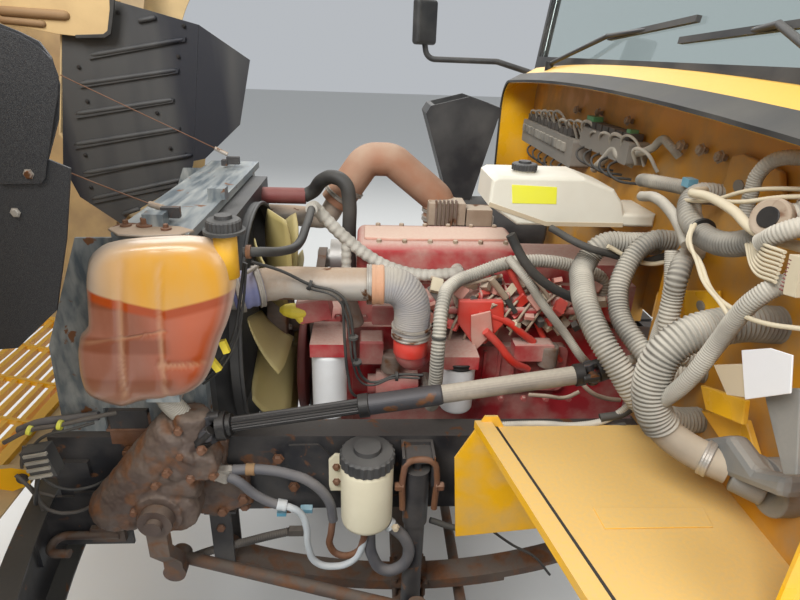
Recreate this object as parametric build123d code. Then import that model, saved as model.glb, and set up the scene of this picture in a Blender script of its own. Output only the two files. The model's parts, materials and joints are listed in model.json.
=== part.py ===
from build123d import *
import math
import os

# Front end of a conventional school bus with its one-piece hood tilted forward.
# Millimetres. +X forward, +Y to the bus's left, +Z up. The origin is the middle of the
# rear crossmember's rear face, at half the height of the frame rails.
os.makedirs("parts", exist_ok=True)

# Ground, frame rails and front axle
ground_z = -960.0
rail_outer = 432.0
rail_height = 260.0
rail_flange = 80.0
rail_wall = 8.0
rail_front = 2060.0
axle_x = 1050.0
axle_z = -440.0
kingpin_y = 860.0
wheel_y = 1040.0
fit_gap = 0.3
running_gap = 0.05

# Wheels and tyres
tyre_radius = axle_z - ground_z
tyre_width = 280.0
bead_radius = 286.0
rim_width = 230.0
rim_wall = 10.0
disc_wall = 12.0
drum_radius = 212.0
drum_width = 150.0
hub_radius = 95.0
stud_circle = 142.0
stud_count = 10
hand_hole_radius = 32.0
hand_hole_circle = 200.0
hand_hole_count = 5
spindle_radius = 35.0

# Knuckles, steering linkage
lug_radius = 55.0
kingpin_radius = 22.5
eye_height = 100.0
lug_height = 50.0
tie_arm = 180.0
tie_rod_radius = 19.0
ball_radius = 28.0
steering_arm = 200.0
pitman_x = 1738.0
pitman_z = -20.0
pitman_length = 250.0
pitman_y = 575.0
pitman_ball_y = 520.0
pitman_wall = 28.0
drag_radius = 18.0

# Leaf springs
spring_y = 395.0
spring_width = 76.0
spring_half = 570.0
spring_rise = 115.0
leaf_wall = 13.0
leaf_count = 3
seat_z = axle_z - 50.0
eye_radius = 28.0

# Engine
engine_rear = 330.0
engine_front = 1240.0
crank_z = 0.0
block_half = 165.0
block_top = 340.0
head_top = 470.0
head_half = 130.0
cover_top = 590.0
cover_half = 115.0
cover_rear = 720.0
pan_bottom = -235.0
flywheel_rear = 110.0
flywheel_radius = 240.0
flywheel_pcd = 428.62
flywheel_holes = 12
flywheel_hole_radius = 5.35

# Cooling pack and fan
fan_z = 290.0
fan_radius = 362.0
fan_x = 1480.0
fan_depth = 70.0
fan_hub_radius = 110.0
fan_blades = 9
blade_root_pitch = 48.0
blade_tip_pitch = 68.0
fan_shaft_radius = 20.0
ring_clearance = 14.0
ring_wall = 6.0
radiator_rear = 1620.0
radiator_front = 1700.0
radiator_half = 342.0
support_inner = 424.0
support_outer = 432.0
radiator_bottom = -60.0
radiator_top = 700.0
cooler_front = 1776.0
header_wall = 22.0
tank_near = 565.0
tank_far = 462.0
tank_rear = 1474.0

# Cowl, firewall and windshield
cowl_front = 545.0
cowl_base = 430.0
cowl_rear = 60.0
cowl_half = 1150.0
cowl_top = 1012.0
cowl_crown = 32.0
cowl_step = 62.0
cowl_corner = 140.0
cowl_bottom = -130.0
skin = 7.0
firewall_x = 380.0
firewall_wall = 8.0
tunnel_half = 330.0
tunnel_top = 610.0
sill_height = 60.0
screen_height = 790.0
screen_rake = 7.0
screen_wall = 46.0
glass_wall = 6.0

# Hood
hood_rear = 565.0
hood_nose = 2180.0
hood_front_half = 860.0
pivot_x = 2120.0
pivot_z = 30.0
hood_open = 78.0
fender_half = 1219.0
fender_top = 350.0
arch_radius = 600.0
arch_z = axle_z + 60.0
shelf_z = 440.0
liner_y = 580.0
liner_wall = 6.0
hood_bottom = 40.0
hinge_y = 460.0
pin_radius = 15.0
grille_half = 440.0

# Bumper
bumper_front = 2170.0
bumper_radius = 2770.0
bumper_top = -62.0
bumper_height = 300.0
bumper_half = 1190.0
bumper_flange = 62.0
bumper_wall = 8.0
hook_z = -200.0


def block(x, y, z):
    """A box from low to high on each axis."""
    size = (x[1] - x[0], y[1] - y[0], z[1] - z[0])
    return Pos((x[0] + x[1]) / 2, (y[0] + y[1]) / 2, (z[0] + z[1]) / 2) * Box(*size)


def rod(start, end, radius):
    """A round bar between two points."""
    line = Vector(*end) - Vector(*start)
    plane = Plane(origin=start, z_dir=line)
    return plane * Cylinder(radius, line.length, align=(Align.CENTER, Align.CENTER, Align.MIN))


def pipe(points, radius, bend):
    """A round tube, solid inside, along straight runs joined by arcs of one bend radius."""
    path = FilletPolyline(*points, radius=bend)
    return sweep(Plane(origin=path @ 0, z_dir=path % 0) * Circle(radius), path=path)


def side_plate(points, low, high):
    """An outline in X and Z, from low to high in Y."""
    face = make_face(Polyline(*[(x, low, z) for x, z in points], close=True))
    return extrude(face, amount=high - low, dir=(0, 1, 0))


def cross_plate(points, low, high):
    """An outline in Y and Z, from low to high in X."""
    face = make_face(Polyline(*[(low, y, z) for y, z in points], close=True))
    return extrude(face, amount=high - low, dir=(1, 0, 0))


def flat_plate(points, low, high):
    """An outline in X and Y, from low to high in Z."""
    face = make_face(Polyline(*[(x, y, low) for x, y in points], close=True))
    return extrude(face, amount=high - low, dir=(0, 0, 1))


def other_side(shape):
    """The same shape on the right side of the bus."""
    return mirror(shape, about=Plane.XZ)


def joined(pieces):
    """All pieces as one solid."""
    whole = pieces[0]
    for piece in pieces[1:]:
        whole = whole + piece
    return whole


def write(node, *solids):
    """One file for each node; a node with several solids becomes a compound."""
    shape = solids[0] if len(solids) == 1 else Compound(children=list(solids))
    export_step(shape, f"parts/{node}.step")


# Frame rails: pressed channels, open towards the middle
def rail():
    half = rail_height / 2
    web = block((0, rail_front), (rail_outer - rail_wall, rail_outer), (-half, half))
    top = block((0, rail_front), (rail_outer - rail_flange, rail_outer), (half - rail_wall, half))
    low = block((0, rail_front), (rail_outer - rail_flange, rail_outer), (-half, -half + rail_wall))
    return web + top + low


# Rear crossmember: its rear face is where the rest of the chassis bolts on
cross_half_y = rail_outer - rail_wall
cross_half_z = rail_height / 2 - rail_wall
cross_depth = 60.0
splice_y = 300.0
splice_z = 140.0
splice_hole = 8.5
rear_cross = block((0, rail_wall), (-cross_half_y, cross_half_y), (-cross_half_z, cross_half_z))
for side in (-1, 1):
    edge = sorted((side * cross_half_z, side * (cross_half_z - rail_wall)))
    rear_cross += block((0, cross_depth), (-cross_half_y + rail_flange, cross_half_y - rail_flange), edge)
for y in (-splice_y / 2, splice_y / 2):
    for z in (-splice_z / 2, splice_z / 2):
        rear_cross -= rod((-1, y, z), (rail_wall + 1, y, z), splice_hole)

# Front crossmember under the radiator
front_cross = block((1600, 1780), (-cross_half_y, cross_half_y), (radiator_bottom - 50, radiator_bottom))
front_cross -= block((1608, 1772), (-cross_half_y - 1, cross_half_y + 1), (radiator_bottom - 51, radiator_bottom - 8))
write("crossmembers", rear_cross, front_cross)


# Bumper: a curved channel, open to the rear, on two brackets from the rails
def bumper_sector(inner, outer, low, high):
    centre = bumper_front - bumper_radius
    band = Pos(centre, 0, low) * Cylinder(outer, high - low, align=(Align.CENTER, Align.CENTER, Align.MIN))
    band -= Pos(centre, 0, low) * Cylinder(inner, high - low, align=(Align.CENTER, Align.CENTER, Align.MIN))
    keep = block((centre + bumper_radius / 2, bumper_front + 1), (-bumper_half, bumper_half), (low, high))
    return band & keep


def bumper():
    low = bumper_top - bumper_height
    web = bumper_sector(bumper_radius - bumper_wall, bumper_radius, low, bumper_top)
    shape = web
    for edge in (low, bumper_top - bumper_wall):
        shape += bumper_sector(bumper_radius - bumper_flange, bumper_radius, edge, edge + bumper_wall)
    return shape


def bumper_bracket():
    low = -rail_height / 2 - 60
    reach = bumper_front - bumper_wall - rail_outer ** 2 / (2 * bumper_radius) - 3
    plate = block((rail_front - 180, reach), (rail_outer, rail_outer + 10), (low - 60, bumper_top - bumper_wall - fit_gap))
    plate += block((rail_front - 180, rail_front - 40), (rail_outer, rail_outer + 10), (bumper_top - 40, -55))
    ring = bumper_sector(bumper_radius - bumper_wall - 10, bumper_radius - bumper_wall, low - 60, bumper_top - bumper_wall - fit_gap)
    foot = ring & block((1900, 2300), (rail_outer, rail_outer + 90), (low - 60, bumper_top))
    return plate + foot


write("bumper", bumper())


# Tow hooks: a plate on the bumper bracket with an open hook behind the bumper
def tow_hook():
    y0 = rail_outer + 24
    path = FilletPolyline(
        (1910, y0, hook_z),
        (2085, y0, hook_z),
        (2085, y0 + 66, hook_z),
        (2020, y0 + 66, hook_z),
        radius=30,
    )
    bar = sweep(Plane(origin=path @ 0, z_dir=path % 0) * Circle(12), path=path)
    pad = block((1895, 1990), (rail_outer + 10, y0 + 2), (hook_z - 25, hook_z + 25))
    return bar + pad


write("tow_hooks", tow_hook(), other_side(tow_hook()))


# Leaf springs, with their hangers under the rails
def spring():
    radius = (spring_half ** 2 + spring_rise ** 2) / (2 * spring_rise)
    low = seat_z + leaf_count * leaf_wall
    whole = None
    for rank in range(leaf_count):
        half = spring_half - rank * 130
        outer = radius + leaf_wall * rank
        inner = outer - leaf_wall
        centre = low + radius
        ring = Plane(origin=(axle_x, spring_y, centre), z_dir=(0, 1, 0)) * Cylinder(outer, spring_width)
        ring -= Plane(origin=(axle_x, spring_y, centre), z_dir=(0, 1, 0)) * Cylinder(inner, spring_width)
        keep = block((axle_x - half, axle_x + half), (spring_y - 50, spring_y + 50), (seat_z, low + 150))
        whole = ring & keep if whole is None else whole + (ring & keep)
    whole -= block((axle_x - 200, axle_x + 200), (spring_y - 60, spring_y + 60), (seat_z - 60, seat_z))
    return whole


eye_z = seat_z + leaf_count * leaf_wall + spring_rise + 4


def hanger(x):
    """Two ears and a pin that hold one spring eye under the rail."""
    ears = []
    for y in (spring_y - spring_width / 2 - 10.5, spring_y + spring_width / 2 + 0.5):
        ears.append(block((x - 30, x + 30), (y, y + 10), (eye_z - 30, -rail_height / 2 - 10)))
    cap = block((x - 45, x + 45), (ears_low, ears_high), (-rail_height / 2 - 10, -rail_height / 2))
    pin = rod((x, ears_low, eye_z), (x, ears_high, eye_z), 12)
    return joined([cap] + ears + [pin])


ears_low = spring_y - spring_width / 2 - 10.5
ears_high = spring_y + spring_width / 2 + 10.5


def spring_with_eyes():
    shape = spring()
    for x in (axle_x - spring_half, axle_x + spring_half):
        shape += rod((x, spring_y - spring_width / 2, eye_z), (x, spring_y + spring_width / 2, eye_z), eye_radius)
    for x in (axle_x - spring_half, axle_x + spring_half):
        shape -= rod((x, spring_y - 60, eye_z), (x, spring_y + 60, eye_z), 12 + running_gap)
    for x in (axle_x - 45, axle_x + 45):
        for y in (spring_y - spring_width / 2 - 8, spring_y + spring_width / 2 + 8):
            shape += rod((x, y, seat_z), (x, y, seat_z + leaf_count * leaf_wall + 34), 8)
    low = seat_z + leaf_count * leaf_wall
    shape += block((axle_x - 60, axle_x + 60), (spring_y - 54, spring_y + 54), (low - 1, low + 18))
    return shape


write("leaf_springs", spring_with_eyes(), other_side(spring_with_eyes()))


# Hood hinge brackets on the rail ends, with their pins
def hinge_bracket():
    plate = block((1960, pivot_x), (rail_outer, rail_outer + 16), (pivot_z - 26, pivot_z + 26))
    plate += rod((pivot_x, rail_outer, pivot_z), (pivot_x, rail_outer + 16, pivot_z), 26)
    plate += rod((pivot_x, rail_outer, pivot_z), (pivot_x, hinge_y + 24, pivot_z), pin_radius)
    return plate


def left_rail():
    rest = block((1784, 1886), (rail_outer - 60, rail_outer), (rail_height / 2 - 1, rail_height / 2 + 85))
    pieces = [rail(), bumper_bracket(), hinge_bracket(), rest]
    pieces += [hanger(axle_x - spring_half), hanger(axle_x + spring_half)]
    return joined(pieces)


bracket_outline = [(1410, 104), (1328, 106), (1250, 22), (1250, -60), (1410, -60)]
reservoir_bracket = side_plate(bracket_outline, rail_outer - 1, rail_outer + 8)
write("frame_rails", left_rail() + reservoir_bracket, other_side(left_rail()))


# Front axle: a dropped I-beam with an eye for each kingpin
def axle_beam():
    half = 50.0
    low = seat_z - 100
    outline = [
        (-kingpin_y, axle_z + half),
        (-620, axle_z + half),
        (-500, seat_z),
        (500, seat_z),
        (620, axle_z + half),
        (kingpin_y, axle_z + half),
        (kingpin_y, axle_z - half),
        (640, axle_z - half),
        (520, low),
        (-520, low),
        (-640, axle_z - half),
        (-kingpin_y, axle_z - half),
    ]
    pocket = [
        (-780, axle_z + half - 18),
        (-628, axle_z + half - 18),
        (-508, seat_z - 18),
        (508, seat_z - 18),
        (628, axle_z + half - 18),
        (780, axle_z + half - 18),
        (780, axle_z - half + 18),
        (632, axle_z - half + 18),
        (512, low + 18),
        (-512, low + 18),
        (-632, axle_z - half + 18),
        (-780, axle_z - half + 18),
    ]
    beam = cross_plate(outline, axle_x - 48, axle_x + 48)
    beam -= cross_plate(pocket, axle_x + 9, axle_x + 49)
    beam -= cross_plate(pocket, axle_x - 49, axle_x - 9)
    for side in (-1, 1):
        y = side * kingpin_y
        beam += rod((axle_x, y, axle_z - half), (axle_x, y, axle_z + half), lug_radius)
        beam -= block((axle_x - 60, axle_x + 60), sorted((y, y + side * 60)), (axle_z - 51, axle_z + 51))
        beam += rod((axle_x, y, axle_z - half), (axle_x, y, axle_z + half), lug_radius)
        beam += rod((axle_x, y, axle_z - half - lug_height - 6), (axle_x, y, axle_z + half + lug_height + 6), kingpin_radius)
    return beam


write("front_axle", axle_beam())


# Shock absorbers between a bracket on the rail and the axle
def shock():
    y = 482.0
    low = rod((axle_x, y, seat_z + 12), (axle_x, y, -130), 30)
    high = rod((axle_x, y, -130), (axle_x, y, 60), 36)
    foot = block((axle_x - 20, axle_x + 20), (y - 20, y + 16), (seat_z, seat_z + 14))
    bracket = block((axle_x - 45, axle_x + 45), (rail_outer, rail_outer + 12), (-20, 118))
    ears = block((axle_x - 45, axle_x - 37.5), (rail_outer, y + 34), (20, 118))
    ears += block((axle_x + 37.5, axle_x + 45), (rail_outer, y + 34), (20, 118))
    top = block((axle_x - 45, axle_x + 45), (rail_outer, y + 34), (100, 108))
    neck = rod((axle_x, y, 58), (axle_x, y, 101), 12)
    return joined([bracket, ears, top, neck, high, low, foot])


write("shock_absorbers", shock(), other_side(shock()))


# Knuckle: forked over the axle's eye, with the spindle and the steering arms
def knuckle(drag):
    low = axle_z - eye_height / 2 - 1
    high = axle_z + eye_height / 2 + 1
    x, y = axle_x, kingpin_y
    web_y = kingpin_y + lug_radius + 4
    shape = block((x - 60, x + 60), (web_y, web_y + 26), (low - lug_height, high + lug_height))
    for base in (low - lug_height, high):
        shape += rod((x, y, base), (x, y, base + lug_height), lug_radius)
        shape += block((x - 50, x + 50), (y, web_y + 2), (base, base + lug_height))
    shape += rod((x, web_y + 20, axle_z), (x, wheel_y + 118, axle_z), spindle_radius)
    shape += rod((x, web_y + 24, axle_z), (x, web_y + 32, axle_z), drum_radius - 12)
    arm = block((x - tie_arm, x), (y - 22, y + 22), (low - lug_height, low - lug_height + 30))
    arm += rod((x - tie_arm, y, low - lug_height), (x - tie_arm, y, low - lug_height + 30), 26)
    shape += arm
    if drag:
        top = high + lug_height
        shape += block((x - 24, x + 24), (y - steering_arm, y), (top - 4, top + 26))
        shape += rod((x, y - steering_arm, top - 4), (x, y - steering_arm, top + 26), 30)
    shape -= rod((x, y, low - lug_height - 1), (x, y, high + lug_height + 40), kingpin_radius + running_gap)
    return shape


write("knuckle_left", knuckle(True))
write("knuckle_right", other_side(knuckle(False)))

# Tie rod behind the axle
arm_bottom = axle_z - eye_height / 2 - 1 - lug_height
tie_x = axle_x - tie_arm
tie_z = arm_bottom - 26
tie_rod = rod((tie_x, -kingpin_y, tie_z), (tie_x, kingpin_y, tie_z), tie_rod_radius)
for side in (-1, 1):
    y = side * kingpin_y
    tie_rod += rod((tie_x, y, tie_z - 24), (tie_x, y, arm_bottom - fit_gap), ball_radius)
    tie_rod += rod((tie_x, side * (kingpin_y - 130), tie_z), (tie_x, y, tie_z), tie_rod_radius + 6)
write("tie_rod", tie_rod)


# Wheels: disc wheel with drum and hub, and the tyre
def tyre():
    half = tyre_width / 2
    tread = half - 24
    outline = [
        (bead_radius + fit_gap, -rim_width / 2 + 14),
        (bead_radius + 30, -rim_width / 2 + 2),
        (bead_radius + 120, -half),
        (tyre_radius - 40, -half + 10),
        (tyre_radius - 8, -tread),
        (tyre_radius, -tread + 14),
        (tyre_radius, tread - 14),
        (tyre_radius - 8, tread),
        (tyre_radius - 40, half - 10),
        (bead_radius + 120, half),
        (bead_radius + 30, rim_width / 2 - 2),
        (bead_radius + fit_gap, rim_width / 2 - 14),
    ]
    face = make_face(Polyline(*[(r, y, 0) for r, y in outline], close=True))
    ring = revolve(face, axis=Axis.Y)
    return Pos(axle_x, wheel_y, axle_z) * ring


def disc_wheel():
    half = rim_width / 2
    base = bead_radius
    outline = [
        (base + 18, -half),
        (base, -half + 8),
        (base, -half + 60),
        (base - 26, -half + 76),
        (base - 26, half - 76),
        (base, half - 60),
        (base, half - 8),
        (base + 18, half),
        (base + 18, half + 7),
        (base - rim_wall, half - 2),
        (base - rim_wall, half - 56),
        (base - 26 - rim_wall, half - 72),
        (base - 26 - rim_wall, -half + 72),
        (base - rim_wall, -half + 56),
        (base - rim_wall, -half + 2),
        (base + 18, -half - 7),
    ]
    rim_face = make_face(Polyline(*[(r, y, 0) for r, y in outline], close=True))
    rim = revolve(rim_face, axis=Axis.Y)
    dish = [
        (base - 30, half - 74),
        (base - 60, half - 34),
        (stud_circle + 30, half - 14),
        (hub_radius - 10, half - 14),
        (hub_radius - 10, half - 14 + disc_wall),
        (stud_circle + 32, half - 14 + disc_wall),
        (base - 52, half - 24),
        (base - 20, half - 66),
    ]
    disc = revolve(make_face(Polyline(*[(r, y, 0) for r, y in dish], close=True)), axis=Axis.Y)
    wheel = rim + disc
    for index in range(hand_hole_count):
        turn = 360.0 / hand_hole_count * index
        hole = Rot(0, turn, 0) * rod((hand_hole_circle, half - 90, 0), (hand_hole_circle, half + 20, 0), hand_hole_radius)
        wheel -= hole
    for index in range(stud_count):
        turn = 360.0 / stud_count * index + 18
        nut = Rot(0, turn, 0) * rod((stud_circle, half - 13, 0), (stud_circle, half + 18, 0), 16)
        wheel += nut
    return Pos(axle_x, wheel_y, axle_z) * wheel


def hub():
    y0 = kingpin_y + lug_radius + 4 + 36
    disc_back = wheel_y + rim_width / 2 - 14
    shape = rod((axle_x, y0 + 30, axle_z), (axle_x, disc_back - fit_gap, axle_z), hub_radius - 12)
    shape += rod((axle_x, disc_back - 22, axle_z), (axle_x, disc_back - fit_gap, axle_z), stud_circle + 24)
    shape += rod((axle_x, disc_back - 1, axle_z), (axle_x, disc_back + 52, axle_z), hub_radius - 24)
    drum = rod((axle_x, y0, axle_z), (axle_x, y0 + drum_width - 16, axle_z), drum_radius)
    drum -= rod((axle_x, y0 - 1, axle_z), (axle_x, y0 + drum_width - 34, axle_z), drum_radius - 14)
    shape += drum
    shape -= rod((axle_x, y0 - 2, axle_z), (axle_x, wheel_y + 119, axle_z), spindle_radius + running_gap)
    return shape


for name, turn_side in (("left", None), ("right", other_side)):
    for node, shape in (("tyre", tyre()), ("wheel", disc_wheel()), ("hub", hub())):
        placed = shape if turn_side is None else turn_side(shape)
        write(f"{node}_{name}", placed)


# Steering gear: the piston housing slopes down and forward, the sector housing crosses it
gear_y = 505.0
gear_radius = 56.0
yoke_radius = 31.0
gear_top = (1640.0, gear_y, 170.0)
gear_low = (1852.0, gear_y, -62.0)
shaft_low = (1600.0, gear_y, 214.0)
shaft_high = (618.0, gear_y, 380.0)
column_end = (firewall_x + firewall_wall + 14, gear_y, 466.0)


def steering_gear():
    slope = (Vector(*gear_low) - Vector(*gear_top)).normalized()
    body = rod(gear_top, gear_low, gear_radius)
    for start, end, radius in ((-26, 0, 62), (-1, 14, 42)):
        body += rod(tuple(Vector(*gear_low) + slope * start), tuple(Vector(*gear_low) + slope * end), radius)
    for start, end, radius in ((0, 22, 62), (70, 92, 61)):
        body += rod(tuple(Vector(*gear_top) + slope * start), tuple(Vector(*gear_top) + slope * end), radius)
    port = Vector(*gear_top) + slope * 150
    for y in (gear_y - 22, gear_y + 22):
        body += rod((port.X, y, port.Z), (port.X - 62, y, port.Z + 62), 13)
    body += rod((pitman_x, rail_outer, pitman_z), (pitman_x, pitman_y - 3, pitman_z), 62)
    body += rod((pitman_x + 9, rail_outer, pitman_z), (pitman_x + 9, rail_outer + 26, pitman_z), 84)
    body += block((pitman_x - 110, pitman_x + 120), (rail_outer, rail_outer + 24), (-100, 100))
    neck_end = Vector(*shaft_low) + (Vector(*gear_top) - Vector(*shaft_low)).normalized() * 50
    body += rod(gear_top, tuple(neck_end), 34)
    body -= rod((pitman_x, pitman_y - 60, pitman_z), (pitman_x, pitman_y, pitman_z), 22 + running_gap)
    return body


write("steering_gear", steering_gear())


def pitman():
    y0, y1 = pitman_y, pitman_y + pitman_wall
    ball_z = pitman_z - pitman_length
    inner = pitman_ball_y - 15
    outer = pitman_ball_y + 15
    outline = [
        (y0, pitman_z),
        (y1, pitman_z),
        (y1, pitman_z - 110),
        (outer, ball_z + 44),
        (outer, ball_z),
        (inner, ball_z),
        (inner, ball_z + 50),
        (y0, pitman_z - 96),
    ]
    arm = cross_plate(outline, pitman_x - 26, pitman_x + 26)
    arm += rod((pitman_x, y0, pitman_z), (pitman_x, y1, pitman_z), 44)
    arm += rod((pitman_x, inner, ball_z), (pitman_x, outer, ball_z), 32)
    arm += rod((pitman_x, pitman_y - 50, pitman_z), (pitman_x, y1 + 16, pitman_z), 22)
    return arm


write("pitman_arm", pitman())


def drag_link():
    ball_z = pitman_z - pitman_length
    socket_y = pitman_ball_y - 15 - fit_gap
    arm_top = axle_z + eye_height / 2 + 1 + lug_height + 26
    rear = (axle_x, kingpin_y - steering_arm, arm_top + 26)
    front = (pitman_x, socket_y - 32, ball_z)
    shape = rod((pitman_x, socket_y - 54, ball_z), (pitman_x, socket_y, ball_z), ball_radius)
    shape += rod((rear[0], rear[1], arm_top + fit_gap), (rear[0], rear[1], arm_top + 52), ball_radius)
    shape += rod(front, rear, drag_radius)
    return shape


write("drag_link", drag_link())


# Steering shaft: a joint at the gear, a splined bar in a sliding tube, a joint near the firewall
def steering_shaft():
    low, high = Vector(*shaft_low), Vector(*shaft_high)
    along = (high - low).normalized()
    spline_end = low + along * 330
    slip_end = low + along * 520
    shape = rod(tuple(low + along * 40), tuple(slip_end), 16)
    shape += rod(tuple(spline_end), tuple(slip_end), 26)
    shape += rod(tuple(slip_end - along), tuple(high - along * 36), 23)
    upper = (Vector(*column_end) - high).normalized()
    stub = (Vector(*gear_top) - low).normalized()
    for centre, forward, rearward in ((low, stub, along), (high, along * -1, upper)):
        shape += rod(tuple(centre), tuple(centre + forward * 40), yoke_radius)
        shape += rod(tuple(centre), tuple(centre + rearward * 42), yoke_radius)
        shape += rod(tuple(centre - Vector(0, 38, 0)), tuple(centre + Vector(0, 38, 0)), 13)
    shape += rod(tuple(high), column_end, 13)
    shape += rod((firewall_x + firewall_wall + fit_gap, gear_y, 466), (firewall_x + firewall_wall + 24, gear_y, 466), 40)
    shape += rod(tuple(low), tuple(low + stub * 49.7), 13)
    return shape


write("steering_shaft", steering_shaft())

# Power steering reservoir on the left rail
reservoir_x = 1190.0
reservoir_y = 502.0
reservoir_radius = 67.0
reservoir_low = -110.0
reservoir_high = 92.0
reservoir = rod((reservoir_x, reservoir_y, reservoir_low), (reservoir_x, reservoir_y, reservoir_high), reservoir_radius)
reservoir = fillet(reservoir.edges().filter_by(GeomType.CIRCLE), 14)
reservoir += block((reservoir_x - 20, reservoir_x + 20), (rail_outer, reservoir_y - 50), (-60, 60))
reservoir += block((reservoir_x + 45, reservoir_x + 104), (reservoir_y - 40, reservoir_y - 32), (-38, 88))
cap = rod((reservoir_x, reservoir_y, reservoir_high + fit_gap), (reservoir_x, reservoir_y, reservoir_high + 34), 62)
cap += rod((reservoir_x, reservoir_y, reservoir_high + 30), (reservoir_x, reservoir_y, reservoir_high + 56), 24)
write("steering_reservoir", reservoir)


# Engine
def engine_block():
    low = block((engine_rear, engine_front), (-block_half, block_half), (-62, block_top))
    head = block((engine_rear + 20, engine_front - 10), (-head_half, head_half), (block_top - 1, head_top))
    front = block((engine_front - 1, engine_front + 34), (-220, 200), (-70, 400))
    front = fillet(front.edges().filter_by(Axis.X), 24)
    side = block_half - 1
    cooler_cover = block((560, 860), (side, block_half + 32), (130, 290))
    cooler_cover = fillet(cooler_cover.edges().filter_by(Axis.Y), 22)
    ribs = [block((x, x + 9), (side, block_half + 42), (142, 278)) for x in range(590, 850, 46)]
    pump = rod((1035, 212, 166), (1165, 212, 166), 46) + block((1050, 1150), (side, 212), (130, 202))
    pump += rod((1164, 212, 166), (1190, 212, 166), 30)
    return joined([low, head, front, cooler_cover, pump] + ribs)


pan = block((engine_rear + 20, engine_front - 60), (-140, 140), (pan_bottom, -62))
pan = fillet(pan.edges().filter_by(Axis.Z), 30)
write("oil_pan", pan)
cover = block((cover_rear, engine_front - 12), (-cover_half, cover_half), (head_top, cover_top))
cover = fillet(cover.edges().filter_by(Axis.Z) + cover.faces().sort_by(Axis.Z)[-1].edges(), 26)
rear_cover = block((engine_rear + 25, cover_rear + 40), (-cover_half + 10, cover_half - 10), (head_top, cover_top - 60))
write("valve_cover", cover + rear_cover)

housing = rod((flywheel_rear, 0, crank_z), (engine_rear, 0, crank_z), flywheel_radius)
housing -= rod((flywheel_rear - 1, 0, crank_z), (flywheel_rear + 90, 0, crank_z), flywheel_radius - 45)
for index in range(flywheel_holes):
    angle = math.radians(360.0 / flywheel_holes * (index + 0.5))
    y = flywheel_pcd / 2 * math.cos(angle)
    z = crank_z + flywheel_pcd / 2 * math.sin(angle)
    housing -= rod((flywheel_rear - 1, y, z), (flywheel_rear + 30, y, z), flywheel_hole_radius)
write("flywheel_housing", housing)


# Left side of the engine: intake manifold, inlet elbow, filters, pump
def intake_side():
    plenum = block((420, 1080), (head_half, 215), (380, 462))
    plenum = fillet(plenum.edges().filter_by(Axis.X), 20)
    riser = block((1010, 1056), (block_half, 205), (300, 390))
    rail = rod((520, rail_y, 430), (1000, rail_y, 430), 11)
    lines = []
    for x in range(540, 900, 80):
        lines.append(block((x - 8, x + 8), (214, rail_y), (422, 438)))
        top = [(x, rail_y, 436), (x, rail_y, 478), (x, head_half - 8, 492), (x, head_half - 8, head_top + fit_gap)]
        lines.append(pipe(top, 4, 10))
    return joined([plenum, riser, pipe(elbow_path, 46, 44), rail] + lines)


inlet_x = 1073.0
rail_y = 232.0
pipe_y = 350.0
elbow_path = [(inlet_x, pipe_y, 400), (inlet_x, pipe_y, 330), (inlet_x - 40, 260, 330), (inlet_x - 40, block_half, 330)]
write("intake_manifold", intake_side())
filters = []
filter_heads = []
filter_places = ((1302.0, 300.0, 120.0, 334.0), (925.0, 300.0, 140.0, 296.0))
for x, y, low, high in filter_places:
    can = rod((x, y, low), (x, y, high), 50)
    can = fillet(can.edges().filter_by(GeomType.CIRCLE), 12)
    inner = 200 if x > engine_front else block_half
    head = block((x - 50, x + 50), (inner, y + 48), (high, high + 40))
    filters.append(can)
    filter_heads.append(head)
write("filters", *filters)
write("filter_heads", *filter_heads)

# Right side of the engine: exhaust manifold and turbocharger
exhaust = block((380, 1150), (-205, -head_half), (380, 450))
exhaust = fillet(exhaust.edges().filter_by(Axis.X), 22)
turbo_x = 940.0
turbo_y = -312.0
turbo_z = 430.0
turbo = rod((turbo_x - 60, turbo_y, turbo_z), (turbo_x + 40, turbo_y, turbo_z), 100)
turbo += rod((turbo_x - 150, turbo_y, turbo_z), (turbo_x - 60, turbo_y, turbo_z), 60)
turbo += rod((turbo_x - 230, turbo_y, turbo_z), (turbo_x - 150, turbo_y, turbo_z), 88)
turbo += block((turbo_x - 190, turbo_x - 110), (turbo_y, -190), (400, 440))
turbo_outlet_x = turbo_x - 10
turbo += rod((turbo_outlet_x, turbo_y, turbo_z), (turbo_outlet_x, turbo_y, turbo_z + 112), 46)
write("turbocharger", turbo + exhaust)

# Front of the engine: crank pulley, fan support, alternator and the belt
belt_x = engine_front + 104
belt_width = 30.0
crank_radius = 118.0
fan_pulley_radius = 96.0
alternator_radius = 34.0
belt_wall = 6.0
crank_pulley = rod((engine_front + 34, 0, crank_z), (engine_front + 100, 0, crank_z), 40)
crank_pulley += rod((engine_front + 98, 0, crank_z), (engine_front + 138, 0, crank_z), 118)


def belt_loop(extra):
    """The outline round the three pulleys, this far outside their rims."""
    wheels = ((0, crank_z, crank_radius), (0, fan_z, fan_pulley_radius), (-296, 400, alternator_radius))
    edges = []
    for y, z, radius in wheels:
        circle = Plane(origin=(belt_x, y, z), z_dir=(1, 0, 0)) * Circle(radius + extra)
        edges += circle.edges()
    flat = [Plane(origin=(belt_x, 0, 0), z_dir=(1, 0, 0)).to_local_coords(edge) for edge in edges]
    face = make_hull(flat)
    return Plane(origin=(belt_x, 0, 0), z_dir=(1, 0, 0)) * face


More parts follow.
